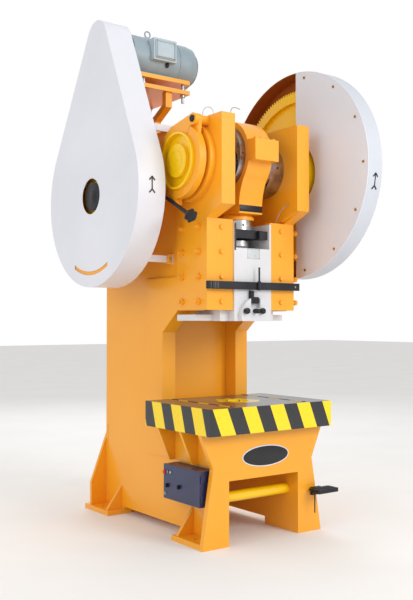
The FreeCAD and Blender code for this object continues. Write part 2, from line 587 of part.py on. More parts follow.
def back_shaft():
    """The flywheel and the back shaft that it drives the pinion through."""
    middle = "wheel_w / 2"
    rim_in = "wheel_r - wheel_rim"
    bore = "shaft_r + running"
    node(turned("x", "wheel_x", "shaft_y", "shaft_z", [
        (bore, "10"), ("wheel_hub_r", "10"), ("wheel_hub_r", f"{middle} - wheel_web / 2"),
        (rim_in, f"{middle} - wheel_web / 2"), (rim_in, "0"), ("wheel_r", "0"), ("wheel_r", "wheel_w"),
        (rim_in, "wheel_w"), (rim_in, f"{middle} + wheel_web / 2"),
        ("wheel_hub_r", f"{middle} + wheel_web / 2"), ("wheel_hub_r", "wheel_w"), (bore, "wheel_w")]),
        "flywheel")
    node(drum("x", "wheel_x + 5", "shaft_y", "shaft_z", "shaft_r", "gear_x + gear_w + 8 - wheel_x - 5"),
         "back_shaft")


def hull(y_low, z_low, r_low, y_high, z_high, r_high):
    """The face inside a belt laid round two circles, in the YZ plane."""
    low = Vector(0, y_low, z_low)
    high = Vector(0, y_high, z_high)
    up = (high - low).normalize()
    side = X_AXIS.cross(up)
    along = (r_low - r_high) / (high - low).Length
    across = math.sqrt(1 - along * along)
    left = up * along + side * across
    right = up * along - side * across
    edges = [
        Part.Arc(low + left * r_low, low - up * r_low, low + right * r_low).toShape(),
        Part.makeLine(low + right * r_low, high + right * r_high),
        Part.Arc(high + right * r_high, high + up * r_high, high + left * r_high).toShape(),
        Part.makeLine(high + left * r_high, low + left * r_low)]
    return Part.Face(Part.Wire(edges))


def hull_block(x, thick, low, high):
    """That face padded along +X; each circle is given as (y, z, radius) expressions."""
    face = hull(*[value(text) for text in low + high])
    face.translate(X_AXIS * value(x))
    return shaped(face.extrude(X_AXIS * value(thick)))


def belts():
    """The motor pulley with its shaft, and three V-belts."""
    middle = "wheel_x + wheel_w / 2"
    pulley = drum("x", f"{middle} - 55", "motor_y", "motor_z", "pulley_r", 110)
    shaft = drum("x", f"{middle} - 55", "motor_y", "motor_z", "motor_shaft_r",
                 f"motor_x - 20 - gap - ({middle} - 55)")
    node(fuse(pulley, shaft), "motor_pulley")
    loops = []
    for step in (-1, 0, 1):
        low = f"{middle} + {step} * belt_pitch - belt_w / 2"
        wide = hull_block(low, "belt_w", ("shaft_y", "shaft_z", "wheel_r + gap + belt_t"),
                          ("motor_y", "motor_z", "pulley_r + gap + belt_t"))
        hole = hull_block(low, "belt_w", ("shaft_y", "shaft_z", "wheel_r + gap"),
                          ("motor_y", "motor_z", "pulley_r + gap"))
        loops.append(cut(wide, hole))
    node(fuse(*loops), "v_belts")


def belt_guard():
    """The teardrop guard over the flywheel and belts, with its hub hole and its peep slot."""
    def skin(inset):
        return (("shaft_y", "shaft_z", f"belt_guard_r - {inset}"),
                ("motor_y", "belt_guard_top_z", f"belt_guard_top_r - {inset}"))
    outer = hull_block("belt_guard_x", "belt_guard_w", *skin("0"))
    inner = hull_block("belt_guard_x + guard_t", "belt_guard_w - guard_t", *skin("guard_t"))
    hub = drum("x", "belt_guard_x", "shaft_y", "shaft_z", "guard_hole_r", "guard_t")
    slot = cut(drum("x", "belt_guard_x", "shaft_y", "shaft_z", "peep_r + peep_w / 2", "guard_t"),
               drum("x", "belt_guard_x", "shaft_y", "shaft_z", "peep_r - peep_w / 2", "guard_t"))
    reach = "peep_r * sin(peep_half)"
    window = box("belt_guard_x", f"shaft_y - {reach}", "shaft_z - peep_r - peep_w", "guard_t",
                 f"2 * {reach}", "peep_r / 2")
    node(cut(outer, inner, hub, common(slot, window)), "belt_guard")
    length = "-(belt_guard_x + guard_t) - side_out"
    rails = [box("belt_guard_x + guard_t", y, z, length, "rail_t", "rail_h")
             for y, z in (("ram_y + 258", 1785), ("ram_y + 203", "top_z - rail_h"))]
    lug = box("-side_out - 22", "ram_y + 244", 1774, 22, 14, 66)
    node(fuse(lug, *rails), "guard_rails")


def gear_guard():
    """The round guard over the gears, and the cover that closes its front half."""
    def skin(x, thick, inset):
        main = drum("x", x, "ram_y", "crank_z", f"gear_guard_r - {inset}", thick)
        return fuse(main, drum("x", x, "shaft_y", "shaft_z", f"pinion_guard_r - {inset}", thick))
    outer = skin("gear_guard_x", "gear_guard_w", "0")
    inner = skin("gear_guard_x", "gear_guard_w - guard_t", "guard_t")
    disc = drum("x", "gear_guard_x - guard_t", "ram_y", "crank_z", "gear_guard_r", "guard_t")
    front = box("gear_guard_x - guard_t", "ram_y - gear_guard_r", "crank_z - gear_guard_r", "guard_t",
                "cover_y - ram_y + gear_guard_r", "2 * gear_guard_r")
    hub = drum("x", "gear_guard_x - guard_t", "ram_y", "crank_z", "gear_hole_r", "guard_t")
    node(cut(common(disc, front), hub), "gear_guard_cover")
    arms = []
    for turn in (-50, 20):
        y = f"ram_y + (gear_guard_r - 2) * cos({turn})"
        z = f"crank_z + (gear_guard_r - 2) * sin({turn})"
        arms.append(box("side_out", f"{y} - 20", f"{z} - 20", "gear_guard_x - side_out", 40, 40))
    node(fuse(cut(outer, inner), *arms), "gear_guard")


def motor():
    """The motor with its feet, cowl, terminal box and eyebolt."""
    shell = drum("x", "motor_x", "motor_y", "motor_z", "motor_r", "motor_len")
    shield = drum("x", "motor_x - 20", "motor_y", "motor_z", "motor_r - 12", 20)
    feet = box("motor_x + 60", "motor_y - 130", "motor_foot_z", "motor_len - 120", 260, 40)
    node(turned("x", "motor_x + motor_len", "motor_y", "motor_z", [
        ("0", "0"), ("motor_r + 1", "0"), ("motor_r + 1", "cowl_len - 80"), ("motor_r - 8", "cowl_len - 34"),
        ("motor_r - 36", "cowl_len - 8"), ("motor_r - 66", "cowl_len"), ("0", "cowl_len")]), "motor_cowl")
    case = box("motor_x + 130", "motor_y - 195", "motor_z - 38", 185, 120, 150)
    saddle = drum("x", "motor_x", "motor_y", "motor_z", "motor_r + running", "motor_len")
    node(cut(case, saddle), "terminal_box")
    ring = doc.addObject("Part::Torus", "ring")
    ring.Radius1 = 22
    ring.Radius2 = 5
    place(ring, "motor_x + 197", "motor_y", "motor_z + motor_r + 34", "y")
    stem = drum("z", "motor_x + 197", "motor_y", "motor_z + motor_r - 1", 9, 14)
    node(fuse(shell, shield, feet, stem, ring), "motor_housing")


def motor_seat():
    """The tension plates, their studs, and the Y-shaped stand that carries them."""
    corners = [(f"motor_plate_x + {x}", f"motor_plate_y + {y}") for x in (40, 360) for y in (30, 450)]
    node(box("motor_plate_x", "motor_plate_y", "plate_top_z", "motor_plate_w", "motor_plate_d",
             "motor_plate_t"), "motor_plate")
    low = box("motor_plate_x", "motor_plate_y", "low_plate_z", "motor_plate_w", "motor_plate_d",
              "motor_plate_t")
    holes = [drum("z", x, y, "low_plate_z", "10 + running", "motor_plate_t") for x, y in corners]
    studs = []
    for x, y in corners:
        studs.append(drum("z", x, y, "low_plate_z - 58", 10, "motor_plate_t + motor_plate_gap + 58"))
        studs.append(drum("z", x, y, "low_plate_z - 17", 17, 17))
        studs.append(drum("z", x, y, "low_plate_z + motor_plate_t", 17, 15))
    node(fuse(*studs), "tension_studs")
    middle = "motor_y - 36"

    def mirror(points):
        front = [(f"{middle} - {across}", up) for across, up in points]
        rear = [(f"{middle} + {across}", up) for across, up in reversed(points)]
        return front + rear
    outer = [(140, "low_plate_z"), (182, "low_plate_z"), (182, "low_plate_z - 103"), (44, "top_z + 95"),
             (44, "top_z"), (20, "top_z"), (20, "top_z + 75")]
    inner = [(26, "top_z + 132"), (140, "low_plate_z - 80")]
    outline = mirror(outer)
    outline += [(f"{middle} + {across}", up) for across, up in reversed(inner)]
    outline += [(f"{middle} - {across}", up) for across, up in inner]
    post = plate("YZ_Plane", "stand_x - stand_t / 2", "stand_t", outline)
    node(fuse(cut(low, *holes), post), "motor_stand")


def knockout_bar():
    """The bar across the front of the guides, with its stop stud."""
    bar = box("-bar_half", "head_y - 13 - bar_t", "bar_z", "2 * bar_half", "bar_t", "bar_h")
    pads = [box(low, "head_y - 13", "bar_z", "keeper_in - 30", 13, "bar_h")
            for low in ("25 - 2 * keeper_in", "keeper_in + 5")]
    stud_y = "head_y - 13 - bar_t - 9"
    stud = drum("z", 21, stud_y, "bar_z", 6, 145)
    nut = drum("z", 21, stud_y, "bar_z - 4", 12, 58)
    block = box(9, stud_y, "bar_z", 24, 9, "bar_h")
    node(fuse(bar, stud, nut, block, *pads), "knockout_bar")


def control_box():
    """The switch box on the left leg, with its door, push button and two selectors."""
    case = box("-side_out - box_deep", "box_y", "box_z", "box_deep", "box_w", "box_h")
    face = "-side_out - box_deep - gap - door_t"
    door = box(face, "box_y", "box_z", "door_t", "box_w", "box_h")
    button_at = ("box_y + 382", "box_z + 170")
    node(cut(door, drum("x", face, *button_at, "12 + gap", "door_t")), "box_door")
    node(drum("x", f"{face} - 12", *button_at, 12, 20), "push_button")
    knuckles = []
    for up in (30, 150):
        knuckles.append(drum("z", "-side_out - box_deep - 4", "box_y - 5", f"box_z + {up}", 4, 40))
        knuckles.append(box("-side_out - box_deep - 4", "box_y - 4", f"box_z + {up}", 34, 4, 40))
    node(fuse(case, *knuckles), "control_box")
    for label, back, up in (("selector_left", 352, 87), ("selector_right", 220, 95)):
        stem = drum("x", f"{face} - gap - 9", f"box_y + {back}", f"box_z + {up}", 14, 9)
        grip = box(f"{face} - gap - 18", f"box_y + {back} - 4", f"box_z + {up} - 12", 9, 8, 24)
        node(fuse(stem, grip), label)


def foot_pedal():
    """The clutch pedal in front of the right leg, its bracket and its hanging link."""
    pivot = ("front_y - 32", "265")
    backing = box(396, "front_y - 18", 238, 78, 18, 52)
    ears = [box(low, "front_y - 40", 254, 8, 22, 16) for low in (396, 466)]
    hole = drum("x", 396, pivot[0], pivot[1], "5 + running", 78)
    node(cut(fuse(backing, *ears), hole), "pedal_bracket")
    pin = drum("x", 396, pivot[0], pivot[1], 5, 78)
    lug = box(405, "front_y - 38", 262, 60, 12, 14)
    tread = box(366, "front_y - 112", 274, 174, 92, 14)
    lip = box(366, "front_y - 116", 262, 174, 8, 26)
    link = drum("z", 380, "front_y - 60", 133, 4, 144)
    node(fuse(pin, lug, tread, lip, link), "foot_pedal")


def tube(points, radius):
    """A lube line: straight runs joined by tangent arcs as large as the runs allow."""
    corners = [Vector(*point) for point in points]
    edges = []
    start = corners[0]
    for index in range(1, len(corners) - 1):
        back = corners[index - 1] - corners[index]
        ahead = corners[index + 1] - corners[index]
        shorter = min(back.Length, ahead.Length)
        turn = math.pi - back.getAngle(ahead)
        cut_back = 0.45 * shorter
        enter = corners[index] + back.normalize() * cut_back
        leave = corners[index] + ahead.normalize() * cut_back
        bend = cut_back / math.tan(turn / 2)
        bisector = (back + ahead).normalize()
        middle = corners[index] + bisector * (bend / math.cos(turn / 2) - bend)
        edges.append(Part.makeLine(start, enter))
        edges.append(Part.Arc(enter, middle, leave).toShape())
        start = leave
        print("lube line bend radius", round(bend, 1))
    edges.append(Part.makeLine(start, corners[-1]))
    path = Part.Wire(edges)
    ring = Part.Wire(Part.makeCircle(radius, corners[0], corners[1] - corners[0]))
    return shaped(path.makePipeShell([ring], True, False))


def lube_lines():
    """The thin grease pipes over the cheeks and beside the rod."""
    over_cheek = tube([(-402, -628, 2688), (-400, -630, 2716), (-385, -634, 2738), (-358, -640, 2746),
                       (-334, -646, 2730), (-326, -650, 2691)], 2.5)
    loop = tube([(-272, -748, 2691), (-268, -746, 2718), (-250, -740, 2736), (-214, -732, 2742),
                 (-180, -726, 2738)], 2.5)
    beside_rod = tube([(256, -700, 2180), (240, -690, 2166), (222, -672, 2140), (212, -648, 2108),
                       (210, -630, 2078), (210, -612, 2049)], 2.5)
    node(fuse(over_cheek, loop, beside_rod), "lube_lines")


def check_document():
    """Stops the build where an object failed or a sub-part has no sound shape."""
    doc.recompute()
    for item in doc.Objects:
        if "Invalid" in item.State or "Error" in item.State:
            raise RuntimeError(f"{item.Label} failed: {item.State}")
    for item in nodes:
        if item.Shape.isNull() or not item.Shape.isValid() or item.Shape.Volume <= 0:
            raise RuntimeError(f"{item.Label} has no sound shape")


def main():
    """Builds every sub-part and writes it to parts/."""
    fill_sheet()
    mirrored(frame_side)
    front_plate()
    cross_plates()
    mirrored(ribs)
    for side in ("left", "right"):
        for end in ("front", "rear"):
            foot(side, end)
    bolster()
    mirrored(guide)
    mirrored(guide_bolts)
    ram()
    connecting_rod()
    crankshaft()
    brake()
    gears()
    back_shaft()
    belts()
    belt_guard()
    gear_guard()
    motor()
    motor_seat()
    knockout_bar()
    control_box()
    foot_pedal()
    lube_lines()
    check_document()
    os.makedirs("parts", exist_ok=True)
    for item in nodes:
        item.Shape.exportStep(f"parts/{item.Label}.step")
    print(len(nodes), "sub-parts written")


main()
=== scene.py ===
"""Mechanical stamping press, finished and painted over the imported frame.

Sizes are in millimetres in the classes and turned to metres where a mesh is made. X points to
the gear side, +Y to the back and Z up, and the origin is the centre of the anchor holes.
"""

import logging
import math
from collections.abc import Callable, Sequence
from dataclasses import dataclass
from enum import Enum

import bmesh
import bpy
from mathutils import Matrix, Vector


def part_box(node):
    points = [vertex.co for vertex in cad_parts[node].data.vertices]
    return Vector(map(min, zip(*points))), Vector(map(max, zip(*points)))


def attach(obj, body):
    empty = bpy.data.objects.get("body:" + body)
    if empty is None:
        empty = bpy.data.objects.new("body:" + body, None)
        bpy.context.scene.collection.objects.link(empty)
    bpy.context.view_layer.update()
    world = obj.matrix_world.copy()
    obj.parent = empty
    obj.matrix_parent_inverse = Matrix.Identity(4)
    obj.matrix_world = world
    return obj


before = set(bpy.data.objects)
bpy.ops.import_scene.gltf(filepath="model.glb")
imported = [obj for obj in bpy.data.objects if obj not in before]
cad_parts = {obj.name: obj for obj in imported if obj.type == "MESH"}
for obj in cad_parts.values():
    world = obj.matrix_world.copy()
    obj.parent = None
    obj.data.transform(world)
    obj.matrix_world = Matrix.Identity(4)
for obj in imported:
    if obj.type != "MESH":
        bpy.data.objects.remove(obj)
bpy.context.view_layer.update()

LOG = logging.getLogger("press")
MM = 0.001
# The crankshaft's axis, which the gear, its guard, the brake and the bolster's hole line up with.
CRANK_Y = -468.0
CRANK_Z = 2415.0
# A face looks a way when its normal's share that way is above this.
FACING = 0.9
# Edges sharper than this many degrees stay sharp in the shading.
SHARP_EDGE = 32
Point = tuple[float, float, float]


class Body(Enum):
    """The moving bodies that new pieces ride on."""

    FRAME = "root"
    SLIDE = "slide"
    CRANK = "crank"
    WHEEL = "flywheel"
    DOOR = "door"
    PEDAL = "pedal"


class Axis(Enum):
    """A direction along one of the frame's axes."""

    X = (0, math.pi / 2, 0)
    Y = (math.pi / 2, 0, 0)
    Z = (0, 0, 0)


# ---------------------------------------------------------------- finishes


def linear(code: str) -> tuple[float, float, float, float]:
    """Turns an sRGB hex colour to linear.

    Args:
        code: The colour, as "#RRGGBB".

    Returns:
        Red, green, blue and an alpha of 1.
    """
    parts = [int(code[start:start + 2], 16) / 255 for start in (1, 3, 5)]
    levels = [c / 12.92 if c <= 0.04045 else ((c + 0.055) / 1.055) ** 2.4 for c in parts]
    return (levels[0], levels[1], levels[2], 1.0)


def add(
    tree: bpy.types.NodeTree, kind: str, links: dict[str | int, object], **settings: object
) -> bpy.types.Node:
    """Adds a shader node with its settings and links.

    Args:
        tree: The material's node tree.
        kind: The node's type, without "ShaderNode".
        links: A value or another node's output for each input, by name or number.
        settings: The node's own settings.

    Returns:
        The node.
    """
    made = tree.nodes.new("ShaderNode" + kind)
    for name, setting in settings.items():
        setattr(made, name, setting)
    for key, source in links.items():
        socket = made.inputs[key]
        if isinstance(source, bpy.types.NodeSocket):
            tree.links.new(source, socket)
        else:
            socket.default_value = source
    return made


@dataclass(frozen=True)
class Finish:
    """A surface: two close colours in soft patches, and a fine grain in gloss and relief."""

    name: str
    colour: str
    shade: str
    rough: float
    metal: float = 0.0
    coat: float = 0.0
    patch: float = 180.0
    grain: float = 5.0
    relief: float = 0.12
    stretch: Point = (1, 1, 1)
    edge: float = 0.0
    gloss_change: float = 0.08

    def base_colour(
        self, tree: bpy.types.NodeTree, place: bpy.types.NodeSocket
    ) -> bpy.types.NodeSocket:
        """Builds the colour: the two colours mixed by a soft noise.

        Args:
            tree: The material's node tree.
            place: The object coordinates.

        Returns:
            The colour output.
        """
        noise = add(tree, "TexNoise", {"Vector": place, "Scale": 1 / (self.patch * MM), "Detail": 3.0})
        spread = add(tree, "MapRange", {0: noise.outputs[0], 1: 0.35, 2: 0.65})
        mixed = add(
            tree, "Mix", {0: spread.outputs[0], 6: linear(self.colour), 7: linear(self.shade)},
            data_type="RGBA")
        return mixed.outputs[2]

    def material(self) -> bpy.types.Material:
        """Makes the material once and returns it."""
        kept = bpy.data.materials.get(self.name)
        if kept:
            return kept
        made = bpy.data.materials.new(self.name)
        made.use_nodes = True
        tree = made.node_tree
        shader = tree.nodes["Principled BSDF"]
        place = add(tree, "TexCoord", {}).outputs["Object"]
        drawn = add(tree, "Mapping", {"Vector": place, "Scale": self.stretch}).outputs[0]
        grain = add(tree, "TexNoise", {"Vector": drawn, "Scale": 1 / (self.grain * MM), "Detail": 4.0})
        gloss = add(tree, "MapRange", {
            0: grain.outputs[0], 1: 0.3, 2: 0.7,
            3: max(self.rough - self.gloss_change, 0.03), 4: self.rough + self.gloss_change})
        bump = {"Height": grain.outputs[0], "Strength": 0.35, "Distance": self.relief * MM}
        if self.edge:
            soft = add(tree, "Bevel", {"Radius": self.edge * MM}, samples=4)
            bump["Normal"] = soft.outputs[0]
        relief = add(tree, "Bump", bump)
        tree.links.new(self.base_colour(tree, place), shader.inputs["Base Color"])
        tree.links.new(gloss.outputs[0], shader.inputs["Roughness"])
        tree.links.new(relief.outputs[0], shader.inputs["Normal"])
        shader.inputs["Metallic"].default_value = self.metal
        shader.inputs["Coat Weight"].default_value = self.coat
        shader.inputs["Coat Roughness"].default_value = 0.12
        return made


@dataclass(frozen=True)
class HazardPaint(Finish):
    """Slanted yellow and black paint on the upright sides, and bare ground steel on top."""

    yellow: str = "#FFDC00"
    black: str = "#242426"
    worn: str = "#E8C81E"
    pitch: float = 225.0
    slant: float = 0.4
    side_slant: float = 0.3
    start: float = -134.0
    side_offset: float = 205.5
    splash: float = 215.0
    ragged: float = 140.0
    centre: Point = (0.0, CRANK_Y, 0.0)

    def base_colour(
        self, tree: bpy.types.NodeTree, place: bpy.types.NodeSocket
    ) -> bpy.types.NodeSocket:
        """Builds the stripes on the sides and the worn paint round the die hole.

        Args:
            tree: The material's node tree.
            place: The object coordinates.

        Returns:
            The colour output.
        """
        steel = super().base_colour(tree, place)
        facing = add(tree, "NewGeometry", {}).outputs["True Normal"]
        squared = add(tree, "VectorMath", {0: facing, 1: facing}, operation="MULTIPLY")
        parts = add(tree, "SeparateXYZ", {0: squared.outputs[0]})
        on_side = add(tree, "Math", {0: parts.outputs[0], 1: 0.5}, operation="GREATER_THAN")
        on_top = add(tree, "Math", {0: parts.outputs[2], 1: 0.5}, operation="GREATER_THAN")
        front = add(tree, "VectorMath", {0: place, 1: (1, 0, self.slant)}, operation="DOT_PRODUCT")
        side = add(tree, "VectorMath", {0: place, 1: (0, 1, -self.side_slant)}, operation="DOT_PRODUCT")
        shifted = add(tree, "Math", {0: side.outputs["Value"], 1: self.side_offset * MM}, operation="ADD")
        along = add(tree, "Mix", {0: on_side.outputs[0], 2: front.outputs["Value"], 3: shifted.outputs[0]})
        turns = add(
            tree, "Math",
            {0: along.outputs[0], 1: 1 / (self.pitch * MM), 2: -self.start / self.pitch},
            operation="MULTIPLY_ADD")
        share = add(tree, "Math", {0: turns.outputs[0]}, operation="FRACT")
        stripe = add(tree, "Math", {0: share.outputs[0], 1: 0.5}, operation="LESS_THAN")
        striped = add(tree, "Mix", {0: stripe.outputs[0], 6: linear(self.black), 7: linear(self.yellow)},
                      data_type="RGBA")
        flat = add(tree, "VectorMath", {0: place, 1: (1, 1, 0)}, operation="MULTIPLY")
        far = add(tree, "VectorMath", {0: flat.outputs[0], 1: tuple(Vector(self.centre) * MM)},
                  operation="DISTANCE")
        noise = add(tree, "TexNoise", {"Vector": place, "Scale": 14.0, "Detail": 5.0})
        edge = add(tree, "Math", {0: noise.outputs[0], 1: self.ragged * MM, 2: far.outputs["Value"]},
                   operation="MULTIPLY_ADD")
        near = add(tree, "Math", {0: edge.outputs[0], 1: self.splash * MM}, operation="LESS_THAN")
        top = add(tree, "Mix", {0: near.outputs[0], 6: steel, 7: linear(self.worn)}, data_type="RGBA")
        both = add(tree, "Mix", {0: on_top.outputs[0], 6: striped.outputs[2], 7: top.outputs[2]},
                   data_type="RGBA")
        return both.outputs[2]


@dataclass(frozen=True)
class EnamelWithPaintedShadeInside(Finish):
    """Off-white outside and orange paint inside, the inside darkened to brown-orange as painted shade; the
    two are told apart by which way a face looks.
    """

    # The inside colour: orange paint darkened to brown-orange, painted shade of the guard's hollow.
    inside: str = "#A65A22"
    centre: Point = (0.0, 0.0, 0.0)
    open_way: Point = (1.0, 0.0, 0.0)

    def base_colour(
        self, tree: bpy.types.NodeTree, place: bpy.types.NodeSocket
    ) -> bpy.types.NodeSocket:
        """Builds the colour: the inside's where a face looks to the middle or the open side.

        Args:
            tree: The material's node tree.
            place: The object coordinates.

        Returns:
            The colour output.
        """
        outside = super().base_colour(tree, place)
        facing = add(tree, "NewGeometry", {}).outputs["True Normal"]
        away = add(tree, "VectorMath", {0: place, 1: tuple(Vector(self.centre) * MM)}, operation="SUBTRACT")
        level = add(tree, "VectorMath", {0: away.outputs[0], 1: (0, 1, 1)}, operation="MULTIPLY")
        outward = add(tree, "VectorMath", {0: level.outputs[0], 1: facing}, operation="DOT_PRODUCT")
        inward = add(tree, "Math", {0: outward.outputs["Value"], 1: -0.01}, operation="LESS_THAN")
        opened = add(tree, "VectorMath", {0: facing, 1: self.open_way}, operation="DOT_PRODUCT")
        flat = add(tree, "Math", {0: opened.outputs["Value"], 1: 0.5}, operation="GREATER_THAN")
        inner = add(tree, "Math", {0: inward.outputs[0], 1: flat.outputs[0]}, operation="MAXIMUM")
        mixed = add(tree, "Mix", {0: inner.outputs[0], 6: outside, 7: linear(self.inside)},
                    data_type="RGBA")
        return mixed.outputs[2]


# Cast and plate steel under sprayed gloss enamel: an even orange with a slight orange-peel.
ORANGE = Finish("frame_gloss_enamel", "#FCAC22", "#F9A71F", 0.34, coat=0.25, patch=600, edge=3.0)
# A second, purer yellow coat on the wheels, the drum and the tube.
YELLOW = Finish("wheel_gloss_enamel", "#FFD00A", "#FBC808", 0.3, coat=0.35, patch=500, edge=2.0)
# Sheet steel guards in off-white enamel, smooth with a faint waviness.
WHITE_SHEET = Finish("guard_white_enamel", "#E6E7EE", "#DFE1E9", 0.42, coat=0.15, patch=700, relief=0.05)
# The belt guard and the gear guard, white outside and orange paint within, darkened to brown-orange as
# painted shade.
BELT_GUARD = EnamelWithPaintedShadeInside("belt_guard_enamel_with_painted_shade", "#E6E7EE", "#DFE1E9", 0.42, coat=0.15, patch=700,
                            relief=0.05, centre=(0, 190, 2450))
# The gear guard's white is set darker than the guard white as painted shade, to keep its brightly lit rim
# off pure white.
GEAR_GUARD = EnamelWithPaintedShadeInside("gear_guard_enamel_with_painted_shade", "#CDD1D9", "#C6CAD3", 0.42, coat=0.15, patch=700,
                            relief=0.05, centre=(0, CRANK_Y, CRANK_Z), open_way=(-1, 0, 0))
# Machined ram under thin white enamel.
WHITE_RAM = Finish("ram_white_enamel", "#DEDDDF", "#D6D6D9", 0.36, coat=0.2, edge=2.0)
# Blued and oiled steel: nearly black with a dull sheen.
BLACK_OXIDE = Finish("black_oxide_steel", "#2B2A2F", "#1F1E22", 0.42, metal=0.35, grain=2.0, edge=1.5)
# Steel turned in the lathe about the crank's axis: fine rings and a bright streak.
TURNED_X = Finish("turned_steel_crankwise", "#B9B4B2", "#8F8A8C", 0.26, metal=1.0, patch=60,
                  grain=40.0, relief=0.05, stretch=(60, 1, 1), edge=1.5)
# Steel turned upright: the adjusting screw and its ball.
TURNED_Z = Finish("turned_steel_upright", "#D8D8D6", "#A8A7A8", 0.24, metal=1.0, patch=60,
                  grain=40.0, relief=0.05, stretch=(1, 1, 60), edge=1.5)
# Plain zinc-plated steel: studs, screws and fittings.
ZINC = Finish("zinc_plated_steel", "#B8B9B6", "#9A9B98", 0.36, metal=0.9, grain=3.0)
# Tin bronze bearing metal, turned.
BRONZE = Finish("tin_bronze", "#B98A4A", "#9E7238", 0.34, metal=1.0, grain=6.0)
# Brass for the half cover's slotted screws.
BRASS = Finish("brass", "#C9A552", "#A98840", 0.32, metal=1.0, grain=3.0)
# Cast aluminium motor under grey-blue machine paint.
MOTOR_GREY = Finish("motor_grey_paint", "#9DADB5", "#8FA0A9", 0.42, coat=0.1, grain=3.0, edge=2.0)
# The terminal box and its lid, pressed and sprayed a paler grey.
MOTOR_LIGHT = Finish("lid_grey_paint", "#BCCBD1", "#AFBEC6", 0.4, coat=0.1, grain=3.0, edge=2.0)
# Steel cabinet in navy structure enamel, with a fine dimple.
NAVY = Finish("cabinet_navy_enamel", "#2F365C", "#292F52", 0.38, coat=0.2, grain=2.5, relief=0.2, edge=2.0)
# Wrapped rubber V-belts with a dull cloth face.
RUBBER = Finish("belt_rubber", "#232224", "#1A191B", 0.75, grain=1.5, relief=0.2)
# Moulded phenolic for knobs and caps.
BLACK_PLASTIC = Finish("moulded_black_phenolic", "#1C1C1F", "#151518", 0.3, grain=1.2, relief=0.03)
# Moulded acetal, red, for the stop button.
RED_PLASTIC = Finish("moulded_red_acetal", "#D8261C", "#C01F18", 0.28, grain=1.2, relief=0.03)
# A pressed glass-clear lens with green behind it.
GREEN_LENS = Finish("green_lamp_lens", "#2E9E58", "#278A4C", 0.15, coat=0.6, grain=2.0, relief=0.02)
# Ground steel bolster with hazard paint on its edges.
BOLSTER = HazardPaint("bolster_ground_steel_and_hazard_paint", "#5B5350", "#453F3E", 0.3,
                      metal=0.0, coat=0.3, patch=220, grain=30, stretch=(1, 12, 1), relief=0.05, edge=1.5)
# Anodised aluminium for plates that carry no lettering.
PLATE = Finish("anodised_aluminium_plate", "#D9DCDD", "#CBCFD1", 0.35, metal=0.7, grain=20.0,
               stretch=(1, 20, 1))


# ---------------------------------------------------------------- the bench


class Form(Enum):
    """The primitives that pieces start from."""

    BLOCK = "cube"
    ROUND = "cylinder"
    BALL = "sphere"


